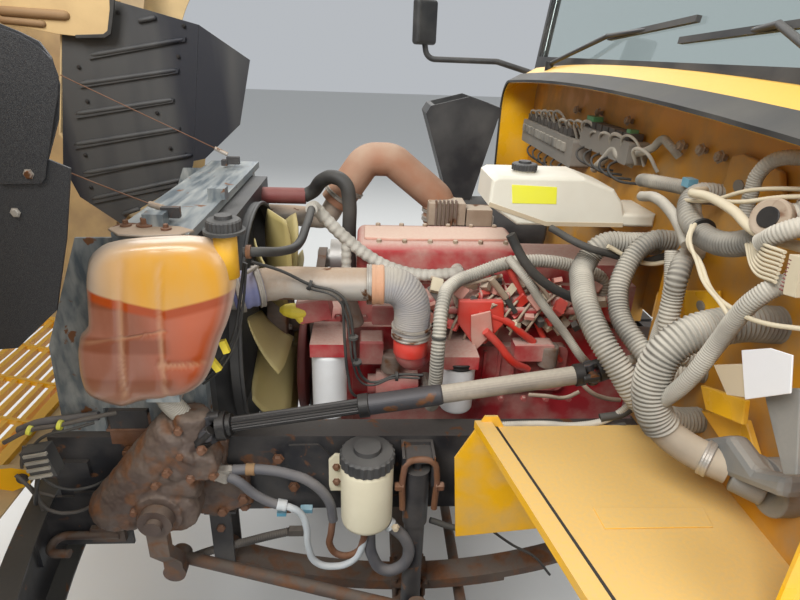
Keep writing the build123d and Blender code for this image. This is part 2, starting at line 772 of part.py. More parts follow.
belt = extrude(belt_loop(belt_wall) - belt_loop(fit_gap), amount=belt_width, dir=(1, 0, 0))
write("belt_drive", crank_pulley, belt)
support = rod((engine_front + 34, 0, fan_z), (engine_front + 92, 0, fan_z), 58)
support -= rod((engine_front + 52, 0, fan_z), (engine_front + 93, 0, fan_z), fan_shaft_radius + running_gap)
write("engine_block", engine_block() + support)
alternator = rod((engine_front - 80, -296, 400), (engine_front + 90, -296, 400), 70)
alternator += rod((engine_front + 89, -296, 400), (engine_front + 138, -296, 400), 34)
alternator += block((engine_front - 80, engine_front - 40), (-240, -head_half), (404, 436))
write("alternator", alternator)


def fan():
    blade_x = fan_x
    shape = rod((engine_front + 54, 0, fan_z), (engine_front + 100, 0, fan_z), fan_shaft_radius)
    shape += rod((engine_front + 98, 0, fan_z), (engine_front + 138, 0, fan_z), 96)
    shape += rod((engine_front + 137, 0, fan_z), (blade_x - 34, 0, fan_z), 44)
    shape += rod((blade_x - 35, 0, fan_z), (blade_x + 35, 0, fan_z), fan_hub_radius)
    band = rod((blade_x - fan_depth / 2, 0, fan_z), (blade_x + fan_depth / 2, 0, fan_z), fan_radius)
    for index in range(fan_blades):
        turn = 360.0 / fan_blades * index
        root = Pos(0, 0, fan_hub_radius - 12) * Rot(0, 0, blade_root_pitch) * Rectangle(110, 7)
        tip = Pos(0, 0, fan_radius + 12) * Rot(0, 0, blade_tip_pitch) * Rectangle(176, 5)
        plate = Pos(blade_x, 0, fan_z) * Rot(turn, 0, 0) * loft([root, tip], ruled=True)
        shape += plate & band
    return shape


write("fan", fan())

# Radiator, charge air cooler, header and shroud
radiator = block((radiator_rear, radiator_front), (-radiator_half, radiator_half), (radiator_bottom, radiator_top))
pipe_out_y = 383.0
pipe_out_z = 540.0
cooler = block((radiator_front + 10, cooler_front), (-radiator_half, radiator_half), (radiator_bottom, radiator_top))
for side in (-1, 1):
    span = sorted((side * radiator_half, side * (pipe_out_y + 36)))
    cooler += block((radiator_front + 12, cooler_front - 4), span, (pipe_out_z - 48, pipe_out_z + 48))
write("radiator_cores", radiator, cooler)


baffle = [
    (cooler_front - 1, radiator_top),
    (1880, radiator_top - 2),
    (1975, 466),
    (1997, 410),
    (2010, 150),
    (1896, 150),
    (1896, 225),
    (cooler_front - 1, 225),
]


def radiator_side():
    span = (support_inner, support_outer)
    panel = block((radiator_rear, cooler_front), span, (rail_height / 2, radiator_top))
    for x in (radiator_rear, cooler_front - 6):
        rim = block((x, x + 6), (support_inner - 30, support_inner), (rail_height / 2, pipe_out_z - 60))
        panel += rim + block((x, x + 6), (support_inner - 30, support_inner), (pipe_out_z + 60, radiator_top))
    return panel + side_plate(baffle, *span)


header = block(
    (radiator_rear - 13, cooler_front + 6),
    (-support_outer - 30, support_outer + 30),
    (radiator_top, radiator_top + header_wall),
)
for x, y in ((1700, 400), (1620, 120)):
    header += block((x - 24, x + 24), (y - 20, y + 20), (radiator_top + header_wall, radiator_top + header_wall + 32))


def shroud():
    ring_inner = fan_radius + ring_clearance
    rear = radiator_rear - 62
    low = radiator_bottom + 10
    high = radiator_top - 8
    half = radiator_half
    shape = block((rear, radiator_rear), (-half, half), (low, high))
    shape -= block((rear + 6, radiator_rear + 1), (-half + 6, half - 6), (low + 6, high - 6))
    shape += rod((fan_x - 10, 0, fan_z), (rear + 6, 0, fan_z), ring_inner + ring_wall)
    shape -= rod((fan_x - 11, 0, fan_z), (rear + 7, 0, fan_z), ring_inner)
    return shape & block((fan_x - 20, radiator_rear), (-500, 500), (low, high))


write("fan_shroud", shroud())


# Surge tank beside the radiator, on its bracket
def surge_tank():
    outline = [
        (1842, 467),
        (1790, 640),
        (1745, 745),
        (1530, 765),
        (tank_rear, 740),
        (tank_rear, 660),
        (1492, 569),
        (1540, 455),
        (1604, 375),
        (1746, 345),
        (1815, 361),
    ]
    body = side_plate(outline, tank_far, tank_near)
    body = fillet(body.edges().filter_by(Axis.Y), 36)
    body = fillet(body.faces().sort_by(Axis.Y)[-1].edges(), 34)
    return body


tank = surge_tank()
tank += rod((1513, 520, 755), (1513, 520, 776), 34)
write("surge_tank", tank)
surge_cap = rod((1513, 520, 776 + fit_gap), (1513, 520, 806), 40)


def tank_floor(x):
    """Height of the tank's sloping underside at x."""
    return 375 - (x - 1604) * (375 - 345) / (1746 - 1604)


bracket = block((1650, 1730), (support_outer, tank_near - 20), (318, 326))
bracket += block((1650, 1730), (support_outer, support_outer + 8), (240, 326))
bracket += side_plate(
    [(1650, 325), (1650, tank_floor(1650) - 0.35), (1730, tank_floor(1730) - 0.35), (1730, 325)],
    tank_far + 10,
    tank_near - 20,
)
write("radiator_support", joined([header, radiator_side(), other_side(radiator_side()), bracket]))


# Charge air pipe and its elbow down to the inlet
pipe_z = 556.0
charge = rod((radiator_front + 12 - fit_gap, pipe_out_y, pipe_out_z), (1529, pipe_out_y, pipe_out_z), 38)
charge += pipe([(1530, pipe_out_y, pipe_out_z), (1470, pipe_y, pipe_z), (1180, pipe_y, pipe_z)], 46, 90)
charge_elbow = pipe([(1179.7, pipe_y, pipe_z), (inlet_x, pipe_y, pipe_z), (inlet_x, pipe_y, 400 + fit_gap)], 50, 70)
write("charge_elbow", charge_elbow)


# Air intake: rectangular duct, air cleaner and the brown elbow to the turbocharger
def inlet_duct():
    foot = [(760, 566), (860, 566), (968, 900), (950, 930), (800, 968), (668, 928)]
    outer = side_plate(foot, -800, -600)
    inner = side_plate([(772, 560), (850, 560), (952, 894), (930, 945), (802, 990), (684, 940)], -790, -610)
    bar = block((700, 930), (-704, -696), (760, 905))
    neck = block((766, 854), (-680, -602), (470, 567))
    neck -= rod((700, cleaner_y, cleaner_z), (900, cleaner_y, cleaner_z), cleaner_radius + fit_gap)
    return (outer - inner) + (bar & outer) + neck


cleaner_y = -640.0
cleaner_z = 445.0
cleaner_radius = 118.0
cleaner = rod((440, cleaner_y, cleaner_z), (900, cleaner_y, cleaner_z), cleaner_radius)
cleaner = fillet(cleaner.edges().filter_by(GeomType.CIRCLE), 16)
write("air_cleaner", cleaner, inlet_duct())
inlet_end = turbo_x + 40 + fit_gap
air_route = [
    (850, cleaner_y + cleaner_radius + fit_gap, cleaner_z),
    (850, -474, cleaner_z),
    (turbo_x + 108, -452, 440),
    (turbo_x + 108, turbo_y, turbo_z),
    (inlet_end, turbo_y, turbo_z),
]
write("air_pipe", pipe(air_route, 36, 38))
elbow_foot = (turbo_outlet_x, turbo_y, turbo_z + 112 + fit_gap)
elbow_route = [elbow_foot, (turbo_outlet_x, turbo_y, 625), (1110, -300, 770), (1200, -300, 770), (1310, -300, 610)]
write("intake_elbow", pipe(elbow_route, 58, 66))
hot_route = [(1310.2, -300, 609.75), (1349.8, -300, 552), (1470, -pipe_out_y, pipe_out_z), (radiator_front + 12 - fit_gap, -pipe_out_y, pipe_out_z)]
write("charge_pipes", charge, pipe(hot_route, 38, 60))


# Cowl: one skin over top and sides, with the plenum step up to the windshield
def arch_section(x, half, top, crown, corner, bottom):
    shoulder = top - corner
    inset = half - corner
    diagonal = corner * (1 - math.sqrt(0.5))
    edges = [
        Line((x, -half, bottom), (x, -half, shoulder)),
        ThreePointArc((x, -half, shoulder), (x, -half + diagonal, top - diagonal), (x, -inset, top)),
        ThreePointArc((x, -inset, top), (x, 0, top + crown), (x, inset, top)),
        ThreePointArc((x, inset, top), (x, half - diagonal, top - diagonal), (x, half, shoulder)),
        Line((x, half, shoulder), (x, half, bottom)),
        Line((x, half, bottom), (x, -half, bottom)),
    ]
    return make_face(edges)


def arch_body(stations, inset=0.0, drop=0.0):
    faces = []
    for x, half, top, crown, corner, bottom in stations:
        faces.append(arch_section(x, half - inset, top - inset, crown, corner - inset / 2, bottom - drop))
    return loft(faces, ruled=True)


cowl_stations = [
    (cowl_front, cowl_half, cowl_top, cowl_crown, cowl_corner, cowl_bottom),
    (cowl_base, cowl_half, cowl_top + cowl_step, cowl_crown, cowl_corner, cowl_bottom),
    (cowl_rear, cowl_half, cowl_top + cowl_step, cowl_crown, cowl_corner, cowl_bottom),
]
cowl_outer = arch_body(cowl_stations)
inner_stations = [
    (x + extra, half, top, crown, corner, bottom)
    for (x, half, top, crown, corner, bottom), extra in zip(cowl_stations, (0.5, 0, -0.5))
]
cowl_inner = arch_body(inner_stations, inset=skin, drop=1.0)
arch_cut = rod((axle_x, -1400, arch_z), (axle_x, 1400, arch_z), arch_radius + 40)
cowl = cowl_outer - cowl_inner - arch_cut
write("cowl", cowl)


def firewall():
    plate = block((firewall_x, firewall_x + firewall_wall), (-1200, 1200), (cowl_bottom + 321, 1200)) & cowl_inner
    plate -= block((firewall_x - 1, firewall_x + 20), (-tunnel_half, tunnel_half), (-200, tunnel_top))
    walls = block((cowl_rear, firewall_x), (-tunnel_half - 8, tunnel_half + 8), (191, tunnel_top + 8))
    walls -= block((cowl_rear + 8, firewall_x + 1), (-tunnel_half, tunnel_half), (190, tunnel_top))
    walls -= block((cowl_rear - 1, cowl_rear + 9), (-flywheel_radius, flywheel_radius), (190, 300))
    rim = block((firewall_x, firewall_x + firewall_wall), (-tunnel_half - 8, tunnel_half + 8), (191, tunnel_top + 8))
    rim -= block((firewall_x - 1, firewall_x + 20), (-tunnel_half, tunnel_half), (190, tunnel_top))
    return plate + walls + rim




def sill():
    low = rail_height / 2
    return block((cowl_rear, firewall_x + firewall_wall), (tunnel_half, cowl_half - skin - fit_gap), (low, 191))


write("firewall", joined([firewall(), sill(), other_side(sill())]))


def seal_body(rear, front, extra):
    """The cowl's own shape between two places along it, this much larger."""
    stations = []
    for x in (front, rear):
        rise = cowl_step * (cowl_front - x) / (cowl_front - cowl_base)
        stations.append((x, cowl_half + extra, cowl_top + rise + extra, cowl_crown, cowl_corner, 480))
    return arch_body(stations)


seal = seal_body(cowl_front - 46, cowl_front + 8, 9) - seal_body(cowl_front - 47, cowl_front + 9, fit_gap)
write("hood_seal", seal)

# Windshield: a frame standing on the cowl, one wide pane and two wipers
screen_half = cowl_half - 30
frame_side = 30.0
frame_rail = 44.0


def screen_plane_box(y, z, wall):
    body = Box(wall, y[1] - y[0], z[1] - z[0], align=(Align.CENTER, Align.CENTER, Align.MIN))
    return Pos(cowl_base - 40, (y[0] + y[1]) / 2, cowl_top + cowl_step) * Rot(0, -screen_rake, 0) * Pos(0, 0, z[0]) * body


def windshield_frame():
    frame = screen_plane_box((-screen_half, screen_half), (-160, screen_height), screen_wall)
    span = (-screen_half + frame_side, screen_half - frame_side)
    frame -= screen_plane_box(span, (frame_rail, screen_height - frame_rail), screen_wall + 40)
    above = arch_body([(x, h + fit_gap, t + fit_gap, c, r, b) for x, h, t, c, r, b in cowl_stations])
    return frame - above - block((0, 700), (-1300, 1300), (500, cowl_top - cowl_corner))


def glass():
    half = screen_half - frame_side - fit_gap
    return screen_plane_box((-half, half), (frame_rail + fit_gap, screen_height - frame_rail - fit_gap), glass_wall)


write("windshield_frame", windshield_frame())
write("windshield_glass", glass())


def on_screen(out, y, up):
    """A point in front of the glass: distance out from its middle, y, and height up the pane."""
    turn = math.radians(screen_rake)
    x = cowl_base - 40 + out * math.cos(turn) - up * math.sin(turn)
    return (x, y, cowl_top + cowl_step + out * math.sin(turn) + up * math.cos(turn))


def wiper(pivot_y, elbow, blade):
    """Boss on the cowl, arm to its elbow, and the blade against the glass."""
    boss = rod((wiper_x, pivot_y, cowl_top - 10), (wiper_x, pivot_y, wiper_top), 17)
    boss -= arch_body([(x, h + fit_gap, t + fit_gap, c, r, b) for x, h, t, c, r, b in cowl_stations])
    joint_point = on_screen(30, *elbow)
    (y0, z0), (y1, z1) = blade
    back = glass_wall / 2 + fit_gap
    outline = [(y0, z0 - 8), (y1, z1 - 8), (y1, z1 + 8), (y0, z0 + 8)]
    strip = cross_plate(outline, back, back + 14)
    strip = Pos(cowl_base - 40, 0, cowl_top + cowl_step) * Rot(0, -screen_rake, 0) * strip
    arm = rod((wiper_x, pivot_y, wiper_top - 10), joint_point, 8)
    arm += rod(joint_point, on_screen(back + 8, (y0 + y1) / 2, (z0 + z1) / 2), 7)
    return joined([boss, arm, strip])


wiper_x = 452.0
wiper_top = cowl_top + cowl_step + 30
right_wiper = wiper(-760, (-300, 115), ((-330, 113), (214, 148)))
left_wiper = wiper(860, (560, 120), ((760, 130), (160, 98)))
write("wipers", left_wiper, right_wiper)


# Mirrors on long arms at the cowl's corners
def mirror_set(route, head, turn):
    """Foot on the cowl's side, arm along the route and the mirror head above its end."""
    start = (mirror_x, cowl_half + 11, mirror_z)
    arm = pipe([start] + route, mirror_arm, 50)
    foot = block((mirror_x - 32, mirror_x + 32), (cowl_half, cowl_half + 12), (mirror_z - 40, mirror_z + 40))
    shell = fillet(Box(*mirror_size).edges(), 18)
    return arm + foot + Pos(*head) * Rot(0, 0, turn) * shell


mirror_x = 262.0
mirror_z = 900.0
mirror_arm = 14.0
mirror_size = (48.0, 150.0, 204.0)
long_route = [(mirror_x, cowl_half + 90, 1010), (560, 1290, 1090), (905, 1350, 1090), (921, 1350, 1180)]
short_route = [(mirror_x, cowl_half + 110, 1010), (270, 1400, 1200)]
right_mirror = other_side(mirror_set(long_route, (921, 1350, 1256), 45))
left_mirror = mirror_set(short_route, (272, 1404, 1285), -70)
write("mirrors", left_mirror, right_mirror)


# Inner fenders behind the front wheels
def inner_fender():
    wall_y = 550.0
    panel_z = 250.0
    outer_y = cowl_half - skin - fit_gap - 20
    back = firewall_x + firewall_wall
    side = side_plate([(back, -60), (940, -123), (962, 150), (893, panel_z + 32), (860, panel_z + 32), (842, panel_z), (back, panel_z)], wall_y, wall_y + 6)
    top = flat_plate([(back, wall_y), (880, wall_y), (762, outer_y), (back, outer_y)], panel_z - 6, panel_z)
    lip = flat_plate([(876, wall_y), (918, wall_y), (800, outer_y), (758, outer_y)], panel_z - 6, panel_z + 16)
    return side + top + lip


write("inner_fenders", inner_fender(), other_side(inner_fender()))

# Washer tank over the rear of the engine, hung from the firewall
washer_cap_x = 757.0
washer_cap_y = 150.0
washer_rear = firewall_x + firewall_wall + fit_gap
washer_outline = [
    (washer_rear, 690),
    (780, 690),
    (866, 745),
    (862, 815),
    (846, 825),
    (608, 825),
    (520, 795),
    (490, 758),
    (480, 728),
    (washer_rear, 728),
]
washer = side_plate(washer_outline, 60, 230)
washer = fillet(washer.faces().sort_by(Axis.Y)[-1].edges(), 10)
washer += rod((washer_cap_x, washer_cap_y, 815), (washer_cap_x, washer_cap_y, 830), 30)
write("washer_tank", washer)
washer_cap = rod((washer_cap_x, washer_cap_y, 830 + fit_gap), (washer_cap_x, washer_cap_y, 853), 38)
write("tank_caps", cap, surge_cap, washer_cap)


# Coolant hoses and the wrapped pipe above the engine
top_hose_y = -230.0
top_hose_z = 650.0
shroud_face = radiator_rear - 62 - fit_gap
block_seat = 400 + fit_gap
top_hose = pipe(
    [
        (shroud_face, top_hose_y, top_hose_z),
        (1400, top_hose_y, top_hose_z),
        (1345, -190, 722),
        (engine_front + 17, -140, 722),
        (engine_front + 17, -140, block_seat),
    ],
    24,
    45,
)
top_hose += rod((shroud_face, top_hose_y, top_hose_z), (1410, top_hose_y, top_hose_z), 28)
wrapped = pipe(
    [
        (920, cover_half + fit_gap, 515),
        (920, 150, 515),
        (1042, 150, 508),
        (1173, 150, 553),
        (1262, 150, 622),
        (1352, 150, 712),
        (1352, 185, 712),
    ],
    15,
    20,
)
wrapped += rod((engine_front + 17, 150, block_seat), (engine_front + 17, 150, 618), 12)
wrapped += pipe(
    [
        (tank_rear - fit_gap, 520, 700),
        (1430, 520, 700),
        (1377, 420, 672),
        (1352, 300, 700),
        (1352, 184, 712),
    ],
    11,
    20,
)
write("coolant_hoses", top_hose, wrapped)

# Ribbed wiring looms from the firewall, with the cast elbow beside the wheel
loom_face = firewall_x + firewall_wall + fit_gap
big_loom = pipe(
    [
        (loom_face, 270, 655),
        (540, 270, 655),
        (600, 270, 580),
        (632, 400, 575),
        (645, 520, 525),
        (592, 610, 445),
        (500, 640, 330),
        (loom_face, 640, 330),
    ],
    32,
    40,
)
middle_loom = pipe(
    [
        (loom_face, 350, 690),
        (470, 350, 690),
        (547, 400, 570),
        (547, 480, 506),
        (490, 600, 440),
        (loom_face, 600, 440),
    ],
    27,
    38,
)
outer_loom = pipe(
    [
        (loom_face, 780, 655),
        (510, 780, 655),
        (612, 780, 590),
        (616, 780, 480),
        (560, 800, 390),
        (470, 880, 385),
    ],
    38,
    50,
)
casting = rod((470, 880, 385), (418, 926, 382), 44)
casting += rod((loom_face, 930, 382), (430, 930, 382), 54)
upper_loom = pipe(
    [
        (loom_face, 520, 850),
        (490, 520, 850),
        (505, 632, 795),
        (505, 740, 800),
        (500, 860, 880),
        (470, 880, 930),
        (loom_face, 880, 930),
    ],
    25,
    29,
)
thin_loom = pipe(
    [
        (loom_face, 185, 815),
        (445, 185, 815),
        (445, 300, 838),
        (445, 465, 850),
        (loom_face, 465, 850),
    ],
    18,
    22,
)
engine_loom = pipe(
    [
        (480, 172, 462 + fit_gap),
        (480, 172, 530),
        (758, 200, 575),
        (837, 205, 551),
        (930, 215, 520),
        (985, 330, 520),
        (1001, 405, 442),
        (1005, 412, 322),
        (1005, 390, 200),
        (1005, 300, 160),
        (1005, block_half + fit_gap, 160),
    ],
    17,
    24,
)
write("loom_hoses", big_loom, middle_loom, outer_loom + casting, upper_loom, thin_loom, engine_loom)

# Relay box and the block beside it, on the firewall
relay_box = block((loom_face, 460), (-1030, -320), (752, 850))
relay_box = fillet(relay_box.edges().filter_by(Axis.X), 12)
fuse_block = block((loom_face, 450), (-290, 110), (840, 905))
fuse_block = fillet(fuse_block.edges().filter_by(Axis.X), 10)
write("junction_box", relay_box, fuse_block)


# Hood, modelled closed and then turned open about its pivot
def opened(shape):
    return Pos(pivot_x, 0, pivot_z) * Rot(0, hood_open, 0) * Pos(-pivot_x, 0, -pivot_z) * shape


hood_stations = [
    (hood_rear, cowl_half, cowl_top, cowl_crown, cowl_corner, hood_bottom),
    (1500, 1040, 925, 30, 140, hood_bottom),
    (1980, 910, 830, 26, 150, hood_bottom),
    (2120, 880, 760, 24, 150, hood_bottom),
    (hood_nose, hood_front_half, 640, 20, 140, hood_bottom),
]


def fender_body(inset, drop):
    outer = fender_half - inset
    front = 2085 - inset
    rear = hood_rear if inset == 0 else hood_rear - 1
    outline = [(rear, 800), (rear, outer), (1620, outer), (front, 1130 - inset), (front, 800)]
    low = hood_bottom - drop
    body = flat_plate(outline, low, fender_top - inset)
    top_edges = body.faces().sort_by(Axis.Z)[-1].edges().sort_by(Axis.Y)[-2:]
    return fillet(top_edges, 70 - inset / 2)


def hood_shell():
    outer = arch_body(hood_stations)
    inner_list = [(x, h, t, c, r, b) for x, h, t, c, r, b in hood_stations]
    inner_list[0] = (hood_rear - 0.5,) + hood_stations[0][1:]
    inner_list[-1] = (hood_nose - skin,) + hood_stations[-1][1:]
    inner = arch_body(inner_list, inset=skin, drop=1.0)
    outer_fender = fender_body(0, 0)
    inner_fender_space = fender_body(skin, 1)
    outer = outer + outer_fender + other_side(outer_fender)
    inner = inner + inner_fender_space + other_side(inner_fender_space)
    shell = outer - inner
    shell -= rod((axle_x, 880, arch_z), (axle_x, 1400, arch_z), arch_radius)
    shell -= rod((axle_x, -1400, arch_z), (axle_x, -880, arch_z), arch_radius)
    shell -= block((hood_nose - 40, hood_nose + 1), (-grille_half, grille_half), (120, 560))
    shelf = side_plate(
        [(930, shelf_z), (1430, shelf_z), (1700, 190), (1700, 100), (1706, 100), (1706, 194), (1436, shelf_z + 6), (930, shelf_z + 6)],
        liner_y + liner_wall,
        1300,
    )
    for one in (shelf, other_side(shelf)):
        shell += one & inner
    for side in (-1, 1):
        span = sorted((side * hinge_y, side * (hinge_y + 16)))
        ear = side_plate([(2092, 12), (2140, 12), (hood_nose - skin + 2, 60), (hood_nose - skin + 2, 200), (2130, 180), (2092, 60)], *span)
        ear -= rod((pivot_x, -600, pivot_z), (pivot_x, 600, pivot_z), pin_radius + running_gap)
        shell += ear
    return shell


write("hood_shell", opened(hood_shell()))


def grille():
    frame = block((hood_nose - 30, hood_nose + 6), (-grille_half + fit_gap, grille_half - fit_gap), (120 + fit_gap, 560 - fit_gap))
    frame -= block((hood_nose - 31, hood_nose + 7), (-grille_half + 30, grille_half - 30), (150, 530))
    for index in range(9):
        z = 168 + index * 41
        frame += block((hood_nose - 24, hood_nose), (-grille_half + 29, grille_half - 29), (z, z + 16))
    for y in (-210, 0, 210):
        frame += block((hood_nose - 28, hood_nose - 10), (y - 6, y + 6), (140, 540))
    return frame


write("grille", opened(grille()))


def headlamp():
    lamp = block((2085 + fit_gap, 2103), (900, 1080), (150, 300))
    return fillet(lamp.edges().filter_by(Axis.X), 30)


write("headlamps", opened(headlamp()), opened(other_side(headlamp())))


liner_ribs = (
    ((1122, 339), (978, 9)),
    ((1231, 369), (1092, 23)),
    ((1346, 380), (1201, 32)),
    ((1463, 381), (1300, 0)),
    ((1568, 347), (1392, -30)),
    ((1666, 305), (1520, -10)),
)
left_liner = [
    (961, shelf_z),
    (972, 20),
    (980, -30),
    (988, -63),
    (1010, -84),
    (1054, -99),
    (1119, -98),
    (1200, -80),
    (1208, -122),
    (1357, -117),
    (1528, -100),
    (1640, -20),
    (1700, 171),
    (1600, 240),
    (1450, 330),
    (1400, shelf_z),
]
right_liner = [
    (961, shelf_z),
    (919, 267),
    (926, -30),
    (1419, -62),
    (1497, -56),
    (1700, 171),
    (1743, 196),
    (1666, 359),
    (1555, 426),
]
right_flap = [(926, -31), (1419, -63), (1400, -105), (1239, -220), (999, -225)]


def liner(outline):
    """A panel inside the fender, with slanting ribs on its inner face."""
    panel = side_plate(outline, liner_y, liner_y + liner_wall)
    area = side_plate(outline, liner_y - 8, liner_y + 1)
    for top, low in liner_ribs:
        bar = side_plate([low, (low[0] + 14, low[1]), (top[0] + 14, top[1]), top], liner_y - 8, liner_y + 1)
        panel += bar & area
    return panel


flap = side_plate(right_flap, liner_y + 1, liner_y + 5)
write("hood_liners", opened(liner(left_liner)), opened(other_side(liner(right_liner) + flap)))
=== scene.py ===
"""School bus front end with its hood tilted forward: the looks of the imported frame."""
import json
import math

import bmesh
import bpy
from mathutils import Matrix, Vector, noise


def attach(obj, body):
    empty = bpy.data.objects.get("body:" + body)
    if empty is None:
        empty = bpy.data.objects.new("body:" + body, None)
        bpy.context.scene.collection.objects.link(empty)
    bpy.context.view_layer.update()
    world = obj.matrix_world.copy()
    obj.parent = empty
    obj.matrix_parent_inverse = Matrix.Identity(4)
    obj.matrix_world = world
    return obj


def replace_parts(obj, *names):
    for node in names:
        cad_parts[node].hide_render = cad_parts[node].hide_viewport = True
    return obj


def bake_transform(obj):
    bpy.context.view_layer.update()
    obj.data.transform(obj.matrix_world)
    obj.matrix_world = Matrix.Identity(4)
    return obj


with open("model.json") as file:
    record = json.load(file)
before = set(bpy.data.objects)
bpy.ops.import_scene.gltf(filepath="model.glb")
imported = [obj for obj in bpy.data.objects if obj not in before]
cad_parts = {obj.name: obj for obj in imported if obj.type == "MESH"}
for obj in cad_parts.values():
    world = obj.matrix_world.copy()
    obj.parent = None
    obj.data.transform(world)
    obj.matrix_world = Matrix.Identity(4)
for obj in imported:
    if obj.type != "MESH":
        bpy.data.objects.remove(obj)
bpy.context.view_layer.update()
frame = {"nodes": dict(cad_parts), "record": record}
nodes = frame["nodes"]

# Camera, in metres and degrees: it stands at the left front corner and looks across the engine
camera_place = Vector((1.200, 1.750, 1.125))
camera_pitch = 23.6
camera_turn = 3.8
camera_roll = 2.1
camera_lens = 36.0 * 571.0 / 800.0
floor_height = -0.960

# The hood's pivot and how far it is open
hood_pivot = Vector((2.120, 0.0, 0.030))
hood_open = 78.0


def linked(name, data):
    """A new object in the scene."""
    obj = bpy.data.objects.new(name, data)
    bpy.context.scene.collection.objects.link(obj)
    return obj


def baked(obj):
    """The mesh of obj with its modifiers applied; obj is removed."""
    bpy.context.view_layer.update()
    source = obj.evaluated_get(bpy.context.evaluated_depsgraph_get())
    mesh = bpy.data.meshes.new_from_object(source)
    bpy.data.objects.remove(obj)
    return mesh


def opened(point):
    """A point of the closed hood, in metres, where it is with the hood open."""
    turned = Matrix.Rotation(math.radians(hood_open), 4, "Y")
    return hood_pivot + turned @ (Vector(point) - hood_pivot)


def set_up(tree, kind, **values):
    """Adds a node and sets its properties."""
    node = tree.nodes.new(kind)
    for name, value in values.items():
        setattr(node, name, value)
    return node


def math_node(tree, operation, first, second=0.0):
    """The result of a sum or other step on numbers or sockets."""
    node = set_up(tree, "ShaderNodeMath", operation=operation)
    for socket, value in zip(node.inputs, (first, second)):
        if isinstance(value, (int, float)):
            socket.default_value = value
        else:
            tree.links.new(value, socket)
    return node.outputs[0]


# Materials


class Finish:
    """One material, with short calls for the nodes that its colour, gloss and bump need."""

    def __init__(self, name, roughness=0.5, metallic=0.0, coat=0.0, transmission=0.0):
        self.material = bpy.data.materials.new(name)
        self.material.use_nodes = True
        self.tree = self.material.node_tree
        self.shader = self.tree.nodes["Principled BSDF"]
        settings = {"Roughness": roughness, "Metallic": metallic, "Coat Weight": coat}
        settings.update({"Transmission Weight": transmission, "IOR": 1.45})
        for socket, value in settings.items():
            self.shader.inputs[socket].default_value = value
        self.place = self.add("ShaderNodeTexCoord")

    def add(self, kind, **values):
        return set_up(self.tree, kind, **values)

    def link(self, source, target):
        self.tree.links.new(source, target)

    def noise(self, scale, detail=4.0, stretch=(1, 1, 1), distortion=0.0):
        """Cloudy grey, 0 to 1; stretch squeezes it along an axis."""
        mapping = self.add("ShaderNodeMapping")
        mapping.inputs["Scale"].default_value = stretch
        self.link(self.place.outputs["Object"], mapping.inputs["Vector"])
        texture = self.add("ShaderNodeTexNoise")
        for socket, value in (("Scale", scale), ("Detail", detail), ("Distortion", distortion)):
            texture.inputs[socket].default_value = value
        self.link(mapping.outputs["Vector"], texture.inputs["Vector"])
        return texture.outputs["Fac"]

    def ramp(self, source, low, high, value_low=0.0, value_high=1.0):
        """Maps source from low..high to value_low..value_high, clamped."""
        node = self.add("ShaderNodeMapRange")
        settings = {"From Min": low, "From Max": high, "To Min": value_low, "To Max": value_high}
        for socket, value in settings.items():
            node.inputs[socket].default_value = value
        self.link(source, node.inputs["Value"])
        return node.outputs["Result"]

    def calculate(self, operation, first, second=0.0):
        return math_node(self.tree, operation, first, second)

    def mix(self, amount, first, second):
        """Colour first where amount is 0, second where it is 1."""
        node = self.add("ShaderNodeMix", data_type="RGBA")
        if isinstance(amount, (int, float)):
            node.inputs["Factor"].default_value = amount
        else:
            self.link(amount, node.inputs["Factor"])
        for name, value in (("A", first), ("B", second)):
            socket = [s for s in node.inputs if s.name == name and s.type == "RGBA"][0]
            if isinstance(value, tuple):
                socket.default_value = (*value, 1.0)
            else:
                self.link(value, socket)
        return [s for s in node.outputs if s.type == "RGBA"][0]

    def axis(self, name):
        """The object coordinate along X, Y or Z, in metres."""
        node = self.add("ShaderNodeSeparateXYZ")
        self.link(self.place.outputs["Object"], node.inputs[0])
        return node.outputs[name]

    def attribute(self, name):
        """A number kept on the mesh of the piece."""
        return self.add("ShaderNodeAttribute", attribute_name=name).outputs["Fac"]

    def facing_up(self):
        """1 on a surface that faces up, 0 on one that faces sideways or down."""
        node = self.add("ShaderNodeSeparateXYZ")
        self.link(self.place.outputs["Normal"], node.inputs[0])
        return self.ramp(node.outputs["Z"], 0.15, 0.95)

    def outward(self, centre):
        """1 where the surface faces away from centre, 0 where it faces it."""
        arm = self.add("ShaderNodeVectorMath", operation="SUBTRACT")
        self.link(self.place.outputs["Object"], arm.inputs[0])
        arm.inputs[1].default_value = centre
        dot = self.add("ShaderNodeVectorMath", operation="DOT_PRODUCT")
        self.link(arm.outputs[0], dot.inputs[0])
        self.link(self.place.outputs["Normal"], dot.inputs[1])
        return self.ramp(dot.outputs["Value"], -0.001, 0.001)

    def colour(self, source):
        if isinstance(source, tuple):
            self.shader.inputs["Base Color"].default_value = (*source, 1.0)
        else:
            self.link(source, self.shader.inputs["Base Color"])

    def rough(self, source):
        self.link(source, self.shader.inputs["Roughness"])

    def bump(self, source, height, detail=1.0):
        """Raises the surface by height metres where source is 1."""
        node = self.add("ShaderNodeBump")
        node.inputs["Strength"].default_value = detail
        node.inputs["Distance"].default_value = height
        self.link(source, node.inputs["Height"])
        self.link(node.outputs["Normal"], self.shader.inputs["Normal"])


